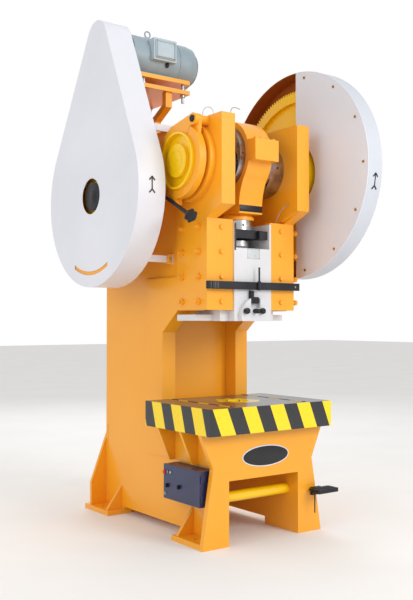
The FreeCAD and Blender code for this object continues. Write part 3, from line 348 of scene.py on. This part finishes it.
class Workpiece:
    """One new piece while it is modelled, in millimetres."""

    def __init__(
        self, name: str, form: Form, place: Point, size: Point, axis: Axis = Axis.Z, sides: int = 32
    ) -> None:
        """Starts the piece from a primitive.

        Args:
            name: The piece's name.
            form: The primitive.
            place: Its middle.
            size: Its size along X, Y and Z, or radius, radius and length of a round one.
            axis: The direction of a round one's length.
            sides: The number of sides of a round one.
        """
        bpy.ops.object.select_all(action="DESELECT")
        at = tuple(value * MM for value in place)
        if form is Form.BLOCK:
            bpy.ops.mesh.primitive_cube_add(size=1, location=at, scale=tuple(v * MM for v in size))
        elif form is Form.ROUND:
            bpy.ops.mesh.primitive_cylinder_add(
                vertices=sides, radius=size[0] * MM, depth=size[2] * MM, location=at, rotation=axis.value)
        else:
            bpy.ops.mesh.primitive_uv_sphere_add(
                segments=sides, ring_count=sides // 2, radius=size[0] * MM, location=at)
        self.thing = bpy.context.object
        self.thing.name = name
        bpy.ops.object.transform_apply(location=True, rotation=True, scale=True)

    def pick(self, test: Callable[[Vector, Vector], bool]) -> "Workpiece":
        """Goes into edit mode and selects faces.

        Args:
            test: Takes a face's middle in millimetres and its normal.

        Returns:
            The piece.
        """
        bpy.context.view_layer.objects.active = self.thing
        bpy.ops.object.mode_set(mode="EDIT")
        bpy.ops.mesh.select_mode(type="FACE")
        bpy.ops.mesh.select_all(action="DESELECT")
        mesh = bmesh.from_edit_mesh(self.thing.data)
        for face in mesh.faces:
            face.select_set(test(face.calc_center_median() / MM, face.normal))
        bmesh.update_edit_mesh(self.thing.data)
        return self

    def inset(self, width: float) -> "Workpiece":
        """Insets the selected faces by a width."""
        bpy.ops.mesh.inset(thickness=width * MM)
        return self

    def push(self, way: Point) -> "Workpiece":
        """Extrudes the selected faces along a vector."""
        bpy.ops.mesh.extrude_region_move(
            TRANSFORM_OT_translate={"value": tuple(value * MM for value in way)})
        return self

    def leave(self) -> "Workpiece":
        """Leaves edit mode with the normals outwards."""
        bpy.ops.mesh.select_all(action="SELECT")
        bpy.ops.mesh.normals_make_consistent(inside=False)
        bpy.ops.object.mode_set(mode="OBJECT")
        return self

    def stretch(self, factors: Point) -> "Workpiece":
        """Scales the whole piece about its own middle."""
        self.thing.select_set(True)
        bpy.context.view_layer.objects.active = self.thing
        bpy.ops.object.origin_set(type="ORIGIN_GEOMETRY", center="BOUNDS")
        self.thing.scale = factors
        bpy.ops.object.transform_apply(location=True, rotation=True, scale=True)
        return self

    def soften(self, width: float, steps: int = 2) -> "Workpiece":
        """Rounds the sharp edges with an applied bevel."""
        bevel = self.thing.modifiers.new("edges", "BEVEL")
        bevel.width = width * MM
        bevel.segments = steps
        bevel.limit_method = "ANGLE"
        bpy.context.view_layer.objects.active = self.thing
        bpy.ops.object.modifier_apply(modifier=bevel.name)
        return self

    def repeat(self, moves: Sequence[Matrix]) -> "Workpiece":
        """Copies the piece by each move and joins all that it makes into one mesh.

        Args:
            moves: A matrix in metres for each copy; the first piece stays.

        Returns:
            The piece.
        """
        copies = []
        for move in moves:
            copy = self.thing.copy()
            copy.data = self.thing.data.copy()
            copy.data.transform(move)
            bpy.context.scene.collection.objects.link(copy)
            copies.append(copy)
        bpy.ops.object.select_all(action="DESELECT")
        for item in [self.thing, *copies]:
            item.select_set(True)
        bpy.context.view_layer.objects.active = self.thing
        bpy.ops.object.join()
        return self

    def join(self, *others: "Workpiece") -> "Workpiece":
        """Joins other pieces into this one."""
        bpy.ops.object.select_all(action="DESELECT")
        for item in (self, *others):
            item.thing.select_set(True)
        bpy.context.view_layer.objects.active = self.thing
        bpy.ops.object.join()
        return self

    def turn(self, angle: float, axis: str, centre: Point) -> "Workpiece":
        """Turns the piece about a line along an axis through a point."""
        self.thing.data.transform(spun(centre, angle, axis))
        return self

    def done(self, finish: Finish, body: Body, slot: str = "") -> bpy.types.Object:
        """Shades and paints the piece and lets it ride on its body.

        Args:
            finish: The piece's finish.
            body: The body that it moves with.
            slot: The record's material slot that it would share; not used.

        Returns:
            The finished object.
        """
        bpy.ops.object.select_all(action="DESELECT")
        self.thing.select_set(True)
        bpy.context.view_layer.objects.active = self.thing
        bpy.ops.object.shade_smooth_by_angle(angle=math.radians(SHARP_EDGE))
        self.thing.data.materials.clear()
        self.thing.data.materials.append(finish.material())
        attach(self.thing, body.value)
        return self.thing


def shift(x: float = 0, y: float = 0, z: float = 0) -> Matrix:
    """A move in millimetres as a matrix in metres."""
    return Matrix.Translation(Vector((x, y, z)) * MM)


def spun(centre: Point, angle: float, axis: str | Vector) -> Matrix:
    """Makes a turn about a line through a point, as a matrix in metres.

    Args:
        centre: The point, in millimetres.
        angle: The angle in degrees.
        axis: The line's direction, a letter or a vector.

    Returns:
        The matrix.
    """
    middle = Vector(centre) * MM
    spin = Matrix.Rotation(math.radians(angle), 4, axis)
    return Matrix.Translation(middle) @ spin @ Matrix.Translation(-middle)


def faces_front(_middle: Vector, normal: Vector) -> bool:
    """Picks faces that look to the operator."""
    return normal.y < -FACING


def faces_left(_middle: Vector, normal: Vector) -> bool:
    """Picks faces that look to the belt side."""
    return normal.x < -FACING


def faces_sideways(_middle: Vector, normal: Vector) -> bool:
    """Picks faces that look to the belt side or the gear side."""
    return abs(normal.x) > FACING


def slotted_screw(name: str, place: Point, radius: float, axis: Axis, way: Point) -> Workpiece:
    """Models a domed screw head with a slot.

    Args:
        name: The piece's name.
        place: The middle of the head.
        radius: The head's radius.
        axis: The direction of its length.
        way: The outward direction, one millimetre long.

    Returns:
        The screw.
    """
    head = Workpiece(name, Form.ROUND, place, (radius, radius, radius * 0.6), axis, 20)
    out = Vector(way)
    head.pick(lambda middle, normal: normal.dot(out) > FACING).inset(radius * 0.28)
    head.push(tuple(out * radius * 0.22)).inset(radius * 0.3)
    return head.push(tuple(out * -radius * 0.2)).leave()


# ---------------------------------------------------------------- sub-assemblies


@dataclass
class RamFittings:
    """The black band on the rod's foot, the scale, the blank plate and their screws."""

    band_low: float = 2110.0
    band_high: float = 2152.0
    band_half: float = 95.0
    foot_front: float = -612.0
    ram_front: float = -634.0
    scale_x: float = -147.5
    scale_low: float = 1852.0
    scale_high: float = 2030.0
    ticks: int = 14
    bolt: Point = (-87, -680, 1459)
    bolt_pitch: float = 129.0
    stud: Point = (-12, -684, 1459)
    plate_x: float = 5.0
    plate_z: float = 1833.0
    plate_width: float = 104.0
    plate_height: float = 68.0

    def band(self) -> bpy.types.Object:
        """Lays the black strip across the front of the connecting rod's foot."""
        middle = (self.band_low + self.band_high) / 2
        strip = Workpiece("rod_foot_strip", Form.BLOCK, (0, self.foot_front - 1.5, middle),
                          (2 * self.band_half, 3, self.band_high - self.band_low))
        strip.pick(faces_front).inset(2.5).push((0, -0.8, 0)).leave().soften(0.5)
        return strip.done(BLACK_OXIDE, Body.SLIDE)

    def clamp_bolts(self) -> bpy.types.Object:
        """Caps the shank clamp with two black hex heads and the round stud between them."""
        head = Workpiece("clamp_bolt_heads", Form.ROUND, self.bolt, (20, 20, 28), Axis.Y, 6)
        head.pick(faces_front).inset(5).push((0, -3, 0)).inset(4).push((0, 2, 0)).leave().soften(1.2)
        stud = Workpiece("clamp_stud", Form.ROUND, self.stud, (16, 16, 36), Axis.Y, 24)
        stud.pick(faces_front).inset(7).push((0, -9, 0)).leave().soften(1.2)
        return head.repeat([shift(x=self.bolt_pitch)]).join(stud).done(BLACK_OXIDE, Body.SLIDE)

    def scale(self) -> list[bpy.types.Object]:
        """Screws the stroke scale beside the ram's pocket, with raised ticks."""
        middle = (self.scale_low + self.scale_high) / 2
        plate = Workpiece("stroke_scale", Form.BLOCK, (self.scale_x, self.ram_front - 1.5, middle),
                          (11, 3, self.scale_high - self.scale_low))
        plate.pick(faces_front).inset(1.2).push((0, -0.8, 0)).leave()
        pitch = (self.scale_high - self.scale_low - 16) / self.ticks
        first = (self.scale_x + 1.5, self.ram_front - 4.1, self.scale_low + 8)
        tick = Workpiece("scale_ticks", Form.BLOCK, first, (5, 0.8, 1.6)).soften(0.2, 1)
        tick.repeat([shift(z=pitch * index) for index in range(1, self.ticks + 1)])
        return [plate.done(BLACK_OXIDE, Body.SLIDE), tick.done(WHITE_RAM, Body.SLIDE)]

    def blank_plate(self) -> list[bpy.types.Object]:
        """Rivets a blank plate to the ram's front."""
        plate = Workpiece("ram_blank_plate", Form.BLOCK, (self.plate_x, self.ram_front - 1.2, self.plate_z),
                          (self.plate_width, 2.4, self.plate_height))
        plate.soften(1.0).pick(faces_front).inset(4).push((0, 0.8, 0)).leave()
        across, down = self.plate_width - 10, self.plate_height - 12
        corner = (self.plate_x - across / 2, self.ram_front - 3, self.plate_z + down / 2)
        rivet = slotted_screw("ram_plate_rivets", corner, 3, Axis.Y, (0, -1, 0))
        rivet.repeat([shift(across, 0, 0), shift(0, 0, -down), shift(across, 0, -down)])
        return [plate.done(PLATE, Body.SLIDE), rivet.done(ZINC, Body.SLIDE)]

    def build(self) -> list[bpy.types.Object]:
        """Makes all the fittings on the slide."""
        return [self.band(), self.clamp_bolts(), *self.scale(), *self.blank_plate()]


@dataclass
class BedFittings:
    """The blank oval plate on the front of the bed, and the pedal's tread."""

    oval_x: float = 8.0
    oval_z: float = 536.0
    bed_front: float = -748.0
    half_width: float = 192.0
    half_height: float = 68.0
    rib_pitch: float = 13.0
    ribs: int = 6

    def oval(self) -> list[bpy.types.Object]:
        """Models the oval plate: a black field inside a pale raised rim."""
        made = []
        for name, grow, thick, finish in (("oval_plate_rim", 0.0, 5.0, WHITE_SHEET),
                                          ("oval_plate_field", -7.0, 6.5, BLACK_PLASTIC)):
            disc = Workpiece(name, Form.ROUND, (self.oval_x, self.bed_front - thick / 2, self.oval_z),
                             (1.0, 1.0, thick), Axis.Y, 96)
            disc.thing.data.transform(
                shift(self.oval_x, self.bed_front - thick / 2, self.oval_z)
                @ Matrix.Diagonal((self.half_width + grow, 1.0, self.half_height + grow, 1.0))
                @ shift(-self.oval_x, -(self.bed_front - thick / 2), -self.oval_z))
            made.append(disc.soften(1.2).done(finish, Body.FRAME))
        return made

    def tread(self) -> bpy.types.Object:
        """Lays anti-slip ribs on the pedal."""
        low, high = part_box("foot_pedal")
        left, right = low.x / MM, high.x / MM
        front, top = low.y / MM, high.z / MM
        rib = Workpiece("pedal_tread_ribs", Form.BLOCK, ((left + right) / 2, front + 14, top + 1.2),
                        ((right - left) * 0.86, 5, 2.4)).soften(0.9)
        rib.repeat([shift(y=self.rib_pitch * step) for step in range(1, self.ribs)])
        return rib.done(BLACK_OXIDE, Body.PEDAL)

    def build(self) -> list[bpy.types.Object]:
        """Makes the plate and the tread."""
        return [*self.oval(), self.tread()]


@dataclass
class GuardFittings:
    """Screws on the half cover, the lower rail's lug and the direction arrows on both rims."""

    screw_circle: float = 682.0
    cover_x: float = 491.0
    screws: int = 7
    first_screw: float = 11.0
    screw_step: float = 26.3
    lug: Point = (-378, -206, 1808)
    bolt: Point = (-378, -231, 1808)
    belt_arrow: Point = (-650, -430.5, 2262)
    gear_arrow: Point = (562, -1192.6, CRANK_Z)
    gear_arrow_down: float = 9.1
    arrow_half: float = 40.0

    def cover_screws(self) -> bpy.types.Object:
        """Fixes the half cover with slotted brass screws round its rim."""
        start = (self.cover_x - 2, CRANK_Y, CRANK_Z + self.screw_circle)
        screw = slotted_screw("cover_screws", start, 9, Axis.X, (-1, 0, 0))
        centre = (0, CRANK_Y, CRANK_Z)
        screw.turn(self.first_screw, "X", centre)
        screw.repeat([spun(centre, self.screw_step * index, "X") for index in range(1, self.screws)])
        return screw.done(BRASS, Body.FRAME)

    def arrow(self, name: str, place: Point, half: float, down: float) -> bpy.types.Object:
        """Paints a plain turning arrow as a thin raised shape on a rim that faces the front.

        Args:
            name: The piece's name.
            place: Its middle, on the rim, before it is swung.
            half: Half its height.
            down: Degrees it is swung down round the crank, to lie on a round rim.

        Returns:
            The arrow.
        """
        x, y, z = place
        shaft = Workpiece(name, Form.BLOCK, (x, y, z), (9, 2.4, 2 * half)).soften(0.5, 1)
        parts = []
        for end in (-1, 1):
            for side in (-1, 1):
                middle = (x + side * 10, y, z + end * half - 8)
                barb = Workpiece(f"{name}_barb", Form.BLOCK, middle, (9, 2.4, 32))
                parts.append(barb.turn(-side * 42, "Y", middle))
        shaft.join(*parts).turn(down, "X", (x, CRANK_Y, CRANK_Z))
        return shaft.done(BLACK_PLASTIC, Body.FRAME)

    def rail_clamps(self) -> list[bpy.types.Object]:
        """Bolts the lower rail to the side plate through an orange lug."""
        lug = Workpiece("rail_lug", Form.BLOCK, self.lug, (34, 44, 66)).soften(5)
        bolt = Workpiece("rail_bolt", Form.ROUND, self.bolt, (11, 11, 9), Axis.Y, 6)
        bolt.pick(faces_front).inset(3).push((0, -2.5, 0)).inset(2.5).push((0, 1.5, 0)).leave().soften(0.7)
        return [lug.done(ORANGE, Body.FRAME), bolt.done(ZINC, Body.FRAME)]

    def build(self) -> list[bpy.types.Object]:
        """Makes the screws, the rail's lug and the arrows."""
        return [
            self.cover_screws(),
            *self.rail_clamps(),
            self.arrow("belt_guard_arrow", self.belt_arrow, self.arrow_half, 0),
            self.arrow("gear_guard_arrow", self.gear_arrow, self.arrow_half, self.gear_arrow_down)]


@dataclass
class MotorFittings:
    """The terminal box's lid and gland, the cowl's seam and the fan's grille."""

    axis_y: float = 120.0
    axis_z: float = 3223.0
    radius: float = 158.0
    seam_x: float = -160.0
    tail_x: float = 10.0
    grille_radius: float = 118.0
    ring_radii: tuple[float, ...] = (92, 68, 44)
    spokes: int = 6

    def lid(self) -> list[bpy.types.Object]:
        """Screws the cushioned lid to the front of the terminal box."""
        low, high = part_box("terminal_box")
        middle = (low + high) / (2 * MM)
        width, height = (high.x - low.x) / MM - 22, (high.z - low.z) / MM - 22
        lid = Workpiece("terminal_lid", Form.BLOCK, (middle.x, low.y / MM - 5, middle.z),
                        (width, 12, height))
        lid.soften(6, 3)
        lid.pick(faces_front).inset(13).push((0, -4, 0)).inset(6).push((0, 2.5, 0)).leave()
        across, up = width / 2 - 8, height / 2 - 8
        screw = slotted_screw("terminal_screws", (middle.x - across, low.y / MM - 12, middle.z - up), 4.5,
                              Axis.Y, (0, -1, 0))
        screw.repeat([shift(2 * across, 0, 0), shift(0, 0, 2 * up), shift(2 * across, 0, 2 * up)])
        gland = Workpiece("cable_gland", Form.ROUND, (middle.x + 40, low.y / MM + 40, low.z / MM - 10),
                          (15, 15, 22), Axis.Z, 6)
        gland.pick(lambda _m, n: n.z < -FACING).inset(4).push((0, 0, -9)).inset(3).push((0, 0, 6)).leave()
        return [lid.done(MOTOR_LIGHT, Body.FRAME), screw.done(ZINC, Body.FRAME),
                gland.soften(1).done(BLACK_PLASTIC, Body.FRAME)]

    def ring(self, name: str, x: float, radius: float, width: float, wall: float) -> Workpiece:
        """Turns a plain ring about the motor's axis.

        Args:
            name: The piece's name.
            x: Its middle.
            radius: Its outer radius.
            width: Its length along X.
            wall: Its thickness.

        Returns:
            The ring.
        """
        ring = Workpiece(name, Form.ROUND, (x, self.axis_y, self.axis_z), (radius, radius, width),
                         Axis.X, 72)
        ring.pick(faces_sideways).inset(wall)
        bpy.ops.mesh.bridge_edge_loops()
        return ring.leave().soften(min(width, wall) * 0.25)

    def build(self) -> list[bpy.types.Object]:
        """Makes the lid, the seams and the fan grille."""
        seam = self.ring("cowl_seam", self.seam_x, self.radius + 3.5, 9, 10)
        grille = self.ring("fan_grille", self.tail_x + 2, self.grille_radius, 5, 7)
        inner = [self.ring(f"grille_ring_{index}", self.tail_x + 2, size, 5, 5)
                 for index, size in enumerate(self.ring_radii)]
        upright = (self.tail_x + 2, self.axis_y, self.axis_z + 70)
        spoke = Workpiece("grille_spokes", Form.BLOCK, upright, (4, 6, 96))
        centre = (0, self.axis_y, self.axis_z)
        spoke.repeat([spun(centre, 360 / self.spokes * index, "X") for index in range(1, self.spokes)])
        grille.join(*inner, spoke)
        return [*self.lid(), seam.done(MOTOR_GREY, Body.FRAME), grille.done(MOTOR_GREY, Body.FRAME)]


@dataclass
class CabinetFittings:
    """Lamps and lock on the control box's door."""

    face_x: float = -469.3
    lamp_z: float = 424.0
    green_y: float = -342.0
    clear_y: float = -374.0
    lock_drop: float = 78.0

    def lamps(self) -> list[bpy.types.Object]:
        """Sets two small lamps in bezels beside the push button."""
        made = []
        for name, y, finish in (("lamp_green", self.green_y, GREEN_LENS),
                                ("lamp_clear", self.clear_y, PLATE)):
            bezel = Workpiece(f"{name}_bezel", Form.ROUND, (self.face_x - 3, y, self.lamp_z),
                              (9, 9, 6), Axis.X, 24)
            bezel.pick(faces_left).inset(2.6).push((2, 0, 0)).leave()
            lens = Workpiece(name, Form.BALL, (self.face_x - 4, y, self.lamp_z), (5.6, 5.6, 5.6), sides=20)
            made += [bezel.done(ZINC, Body.DOOR), lens.stretch((0.7, 1, 1)).done(finish, Body.DOOR)]
        return made

    def lock(self) -> list[bpy.types.Object]:
        """Sets the quarter-turn lock by the door's free edge."""
        low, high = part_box("box_door")
        free = high.y / MM - 22
        mid = (low.z + high.z) / (2 * MM)
        barrel = Workpiece("door_lock", Form.ROUND, (self.face_x - 2.5, free, mid - self.lock_drop),
                           (10, 10, 5), Axis.X, 28)
        barrel.pick(faces_left).inset(3).push((1.5, 0, 0)).inset(2.5).push((1.5, 0, 0)).leave()
        return [barrel.done(ZINC, Body.DOOR)]

    def build(self) -> list[bpy.types.Object]:
        """Makes everything on the door."""
        return [*self.lamps(), *self.lock()]


@dataclass
class BrakeFittings:
    """The rings on the brake drum's face, the pin's cap and the star nut's lobes."""

    face_x: float = -500.0
    nut: Point = (-495.0, CRANK_Y - 164.0, CRANK_Z - 367.0)
    rod_way: Point = (0.0, -334.0, -173.0)
    nut_radius: float = 33.0
    lobes: int = 6

    def build(self) -> list[bpy.types.Object]:
        """Makes the face rings, the pin's cap and the lobes."""
        made = []
        for name, radius, wall in (("drum_face_ring", 66.0, 2.0), ("drum_centre_dimple", 9.0, 4.0)):
            ring = Workpiece(name, Form.ROUND, (self.face_x + 5.6, CRANK_Y, CRANK_Z),
                             (radius, radius, 2.4), Axis.X, 72)
            ring.pick(faces_sideways).inset(wall)
            bpy.ops.mesh.bridge_edge_loops()
            made.append(ring.leave().done(YELLOW, Body.CRANK))
        low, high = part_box("brake_pin")
        y, z = (low.y + high.y) / (2 * MM), (low.z + high.z) / (2 * MM)
        washer = Workpiece("brake_pin_cap", Form.ROUND, (low.x / MM + 3, y, z), (22, 22, 7), Axis.X, 32)
        washer.pick(faces_left).inset(6).push((-4, 0, 0)).inset(5).push((2, 0, 0)).leave()
        made.append(washer.soften(0.8).done(BLACK_OXIDE, Body.FRAME))
        return [*made, self.star_lobes()]

    def star_lobes(self) -> bpy.types.Object:
        """Sets round lobes about the clamp rod's star nut."""
        centre = Vector(self.nut)
        way = Vector(self.rod_way).normalized()
        arm = way.cross(Vector((1, 0, 0))) * self.nut_radius
        lobe = Workpiece("star_nut_lobes", Form.BALL, tuple(centre + arm), (13.5, 0, 0), sides=20)
        lobe.repeat([spun(self.nut, 360 / self.lobes * index, way) for index in range(1, self.lobes)])
        return lobe.done(BLACK_PLASTIC, Body.FRAME)


@dataclass
class WheelFittings:
    """The dark hub cap of the flywheel and the shield behind the guard's peep slot."""

    wheel_y: float = 190.0
    wheel_z: float = 2243.3
    shield_radius: float = 545.0
    shield_width: float = 45.0
    cap_radius: float = 99.0
    cap_x: float = -737.0
    shield_x: float = -744.0

    def build(self) -> list[bpy.types.Object]:
        """Makes the cap and the shield."""
        cap = Workpiece("flywheel_hub_cap", Form.ROUND, (self.cap_x, self.wheel_y, self.wheel_z),
                        (self.cap_radius, self.cap_radius, 4), Axis.X, 64)
        cap.pick(faces_left).inset(52).push((-2, 0, 0)).inset(20).push((-2, 0, 0)).leave().soften(0.5)
        shield = Workpiece("peep_shield", Form.ROUND, (self.shield_x, self.wheel_y, self.wheel_z),
                           (self.shield_radius, self.shield_radius, 2), Axis.X, 96)
        shield.pick(faces_sideways).inset(self.shield_width)
        bpy.ops.mesh.bridge_edge_loops()
        shield.leave()
        return [cap.done(BLACK_OXIDE, Body.WHEEL), shield.done(ORANGE, Body.FRAME)]


@dataclass
class HeadFittings:
    """The long adjusting screws on the gear side and the screws of the knock-out bar."""

    cheek_x: float = 365.0
    screw_y: float = -566.0
    rows: tuple[float, ...] = (1519.0, 1678.0, 1838.0, 1995.0)
    bar_front: float = -664.0
    bar_z: float = 1622.5
    mark_x: float = -362.0
    mark_steps: tuple[float, ...] = (22, 34, 46, 58)
    bar_screw_x: float = 340.0

    def gib_screws(self) -> bpy.types.Object:
        """Sets the gib screws with their lock nuts in the gear side's cheek."""
        stud = Workpiece("gib_screws", Form.ROUND, (self.cheek_x + 38, self.screw_y, self.rows[0]),
                         (11, 11, 84), Axis.X, 20).soften(1.5)
        nut = Workpiece("gib_nut", Form.ROUND, (self.cheek_x + 62, self.screw_y, self.rows[0]),
                        (20, 20, 20), Axis.X, 6)
        nut.pick(lambda _m, n: n.x > FACING).inset(3).push((1.5, 0, 0)).leave().soften(1)
        stud.join(nut).repeat([shift(z=row - self.rows[0]) for row in self.rows[1:]])
        return stud.done(ORANGE, Body.FRAME)

    def bar_marks(self) -> list[bpy.types.Object]:
        """Lays raised setting marks at one end of the knock-out bar and sets a screw at the other."""
        mark = Workpiece("bar_marks", Form.BLOCK, (self.mark_x, self.bar_front - 0.4, self.bar_z),
                         (1.6, 1.2, 40)).soften(0.3, 1)
        mark.repeat([shift(x=step) for step in self.mark_steps])
        place = (self.bar_screw_x, self.bar_front - 2, self.bar_z)
        screw = slotted_screw("bar_screw", place, 7, Axis.Y, (0, -1, 0))
        return [mark.done(ZINC, Body.FRAME), screw.done(ZINC, Body.FRAME)]

    def build(self) -> list[bpy.types.Object]:
        """Makes the screws and the marks."""
        return [self.gib_screws(), *self.bar_marks()]


@dataclass
class WeldBeads:
    """The fillet welds of the frame, laid as overlapping drops."""

    drop: float = 4.5
    pitch: float = 7.0
    plate_x: float = 350.0
    back_x: float = 286.0

    def bead(self, name: str, start: Point, end: Point) -> bpy.types.Object:
        """Lays one straight bead.

        Args:
            name: The bead's name.
            start: Where it starts.
            end: Where it ends.

        Returns:
            The bead.
        """
        way = Vector(end) - Vector(start)
        steps = int(way.length / self.pitch)
        bead = Workpiece(name, Form.BALL, start, (self.drop, 0, 0), sides=8)
        bead.repeat([shift(*(way * (index / steps))) for index in range(1, steps + 1)])
        return bead.done(ORANGE, Body.FRAME)

    def build(self) -> list[bpy.types.Object]:
        """Lays the beads along the doublers, the front legs, the rear feet and the back plate."""
        made = []
        for side, word in ((-1, "left"), (1, "right")):
            out, back = side * self.plate_x, side * self.back_x
            made += [
                self.bead(f"weld_doubler_{word}", (out, -560, 1465), (out, -300, 1465)),
                self.bead(f"weld_bed_{word}", (out, -713, 60), (out, -713, 395)),
                self.bead(f"weld_rear_{word}", (out, 654, 60), (out, 654, 620)),
                self.bead(f"weld_back_{word}", (back, 630, 300), (back, 630, 2000))]
        return made


ASSEMBLIES: tuple[type, ...] = (
    RamFittings, BedFittings, GuardFittings, MotorFittings, CabinetFittings, BrakeFittings,
    WheelFittings, HeadFittings, WeldBeads)


# ---------------------------------------------------------------- studio


@dataclass
class Studio:
    """A plain pale floor, soft lights and the camera, in metres."""

    floor_half: float = 40.0
    eye: Point = (-3.487, -4.902, 1.395)
    turn: float = 36.09
    tilt: float = 1.42
    lens: float = 50.6
    aim: Point = (0, -0.4, 1.6)
    sky_seen: float = 1.0
    sky_lighting: float = 0.78

    def lay_floor(self) -> None:
        """Lays the pale floor under the feet."""
        bpy.ops.object.select_all(action="DESELECT")
        bpy.ops.mesh.primitive_plane_add(size=2 * self.floor_half)
        floor = bpy.context.object
        floor.name = "studio_floor"
        pale = Finish("matt_studio_paper", "#F4F3F1", "#F1F0EE", 0.9, patch=900, relief=0.0)
        floor.data.materials.append(pale.material())

    def hang_light(self, name: str, place: Point, size: float, power: float) -> None:
        """Hangs a square soft light aimed at the machine's middle.

        Args:
            name: The light's name.
            place: Where it hangs.
            size: The length of its side.
            power: Its power in watts.
        """
        lamp = bpy.data.lights.new(name, "AREA")
        lamp.size = size
        lamp.energy = power
        holder = bpy.data.objects.new(name, lamp)
        holder.location = place
        ray = Vector(self.aim) - Vector(place)
        holder.rotation_euler = ray.to_track_quat("-Z", "Y").to_euler()
        bpy.context.scene.collection.objects.link(holder)

    def light(self) -> None:
        """Lights the press from the operator's side, with a soft sky all round."""
        world = bpy.data.worlds.new("studio_sky")
        world.use_nodes = True
        sky = world.node_tree.nodes["Background"]
        sky.inputs["Color"].default_value = (1, 1, 1, 1)
        seen = add(world.node_tree, "LightPath", {})
        level = add(world.node_tree, "Math", {
            0: seen.outputs["Is Camera Ray"], 1: self.sky_seen - self.sky_lighting,
            2: self.sky_lighting}, operation="MULTIPLY_ADD")
        world.node_tree.links.new(level.outputs[0], sky.inputs["Strength"])
        bpy.context.scene.world = world
        self.hang_light("front_key", (1.8, -7.5, 4.5), 3.0, 245)
        self.hang_light("left_fill", (-7.0, -2.0, 3.6), 4.0, 80)
        self.hang_light("back_rim", (3.0, 6.0, 5.5), 4.0, 120)

    def set_camera(self) -> None:
        """Stands the camera to the left of the operator, level with the bolster."""
        lens = bpy.data.cameras.new("camera")
        lens.lens = self.lens
        lens.clip_end = 100
        camera = bpy.data.objects.new("camera", lens)
        camera.location = self.eye
        camera.rotation_euler = (math.radians(90 + self.tilt), 0, -math.radians(self.turn))
        bpy.context.scene.collection.objects.link(camera)
        bpy.context.scene.camera = camera
        bpy.context.scene.view_settings.view_transform = "Standard"

    def build(self) -> None:
        """Makes the floor, the lights and the camera."""
        self.lay_floor()
        self.light()
        self.set_camera()


# ---------------------------------------------------------------- the frame's own parts

NODE_FINISHES: dict[Finish, tuple[str, ...]] = {
    ORANGE: (
        "frame_side_left", "frame_side_right", "front_bed_plate", "bed_top_plate", "head_web",
        "back_plate", "bed_ribs_left", "bed_ribs_right", "foot_front_left", "foot_front_right",
        "foot_rear_left", "foot_rear_right", "ram_guide_left", "ram_guide_right",
        "guide_bolts_left", "guide_bolts_right", "connecting_rod", "brake_jaw_rear",
        "brake_jaw_front", "brake_pin", "back_shaft", "motor_plate", "motor_stand"),
    YELLOW: ("tie_tube", "brake_drum", "bull_gear", "pinion", "flywheel"),
    WHITE_SHEET: ("gear_guard_cover", "guard_rails"),
    BELT_GUARD: ("belt_guard",),
    GEAR_GUARD: ("gear_guard",),
    WHITE_RAM: ("ram", "ram_flange", "shank_clamp"),
    BLACK_OXIDE: (
        "knockout_block", "lock_clamp", "brake_rod", "knockout_bar", "foot_pedal", "pedal_bracket"),
    TURNED_X: ("crankshaft", "eccentric_sleeve", "sleeve_ring_nut", "motor_pulley"),
    TURNED_Z: ("adjusting_screw",),
    ZINC: ("tension_studs", "lube_lines"),
    BRONZE: ("bush_left", "bush_right"),
    RUBBER: ("v_belts",),
    MOTOR_GREY: ("motor_housing", "motor_cowl"),
    MOTOR_LIGHT: ("terminal_box",),
    NAVY: ("control_box", "box_door"),
    RED_PLASTIC: ("push_button",),
    BLACK_PLASTIC: ("selector_left", "selector_right"),
    BOLSTER: ("bolster",),
}


def paint_frame() -> None:
    """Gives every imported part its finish."""
    for finish, names in NODE_FINISHES.items():
        for name in names:
            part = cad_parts[name]
            part.data.materials.clear()
            part.data.materials.append(finish.material())
            LOG.info("painted %s: %s", name, finish.name)


def main() -> None:
    """Builds the studio and every piece."""
    logging.basicConfig(level=logging.INFO, format="%(message)s")
    Studio().build()
    paint_frame()
    for assembly in ASSEMBLIES:
        for piece in assembly().build():
            LOG.info("made %s", piece.name)


if __name__ == "__main__":
    main()
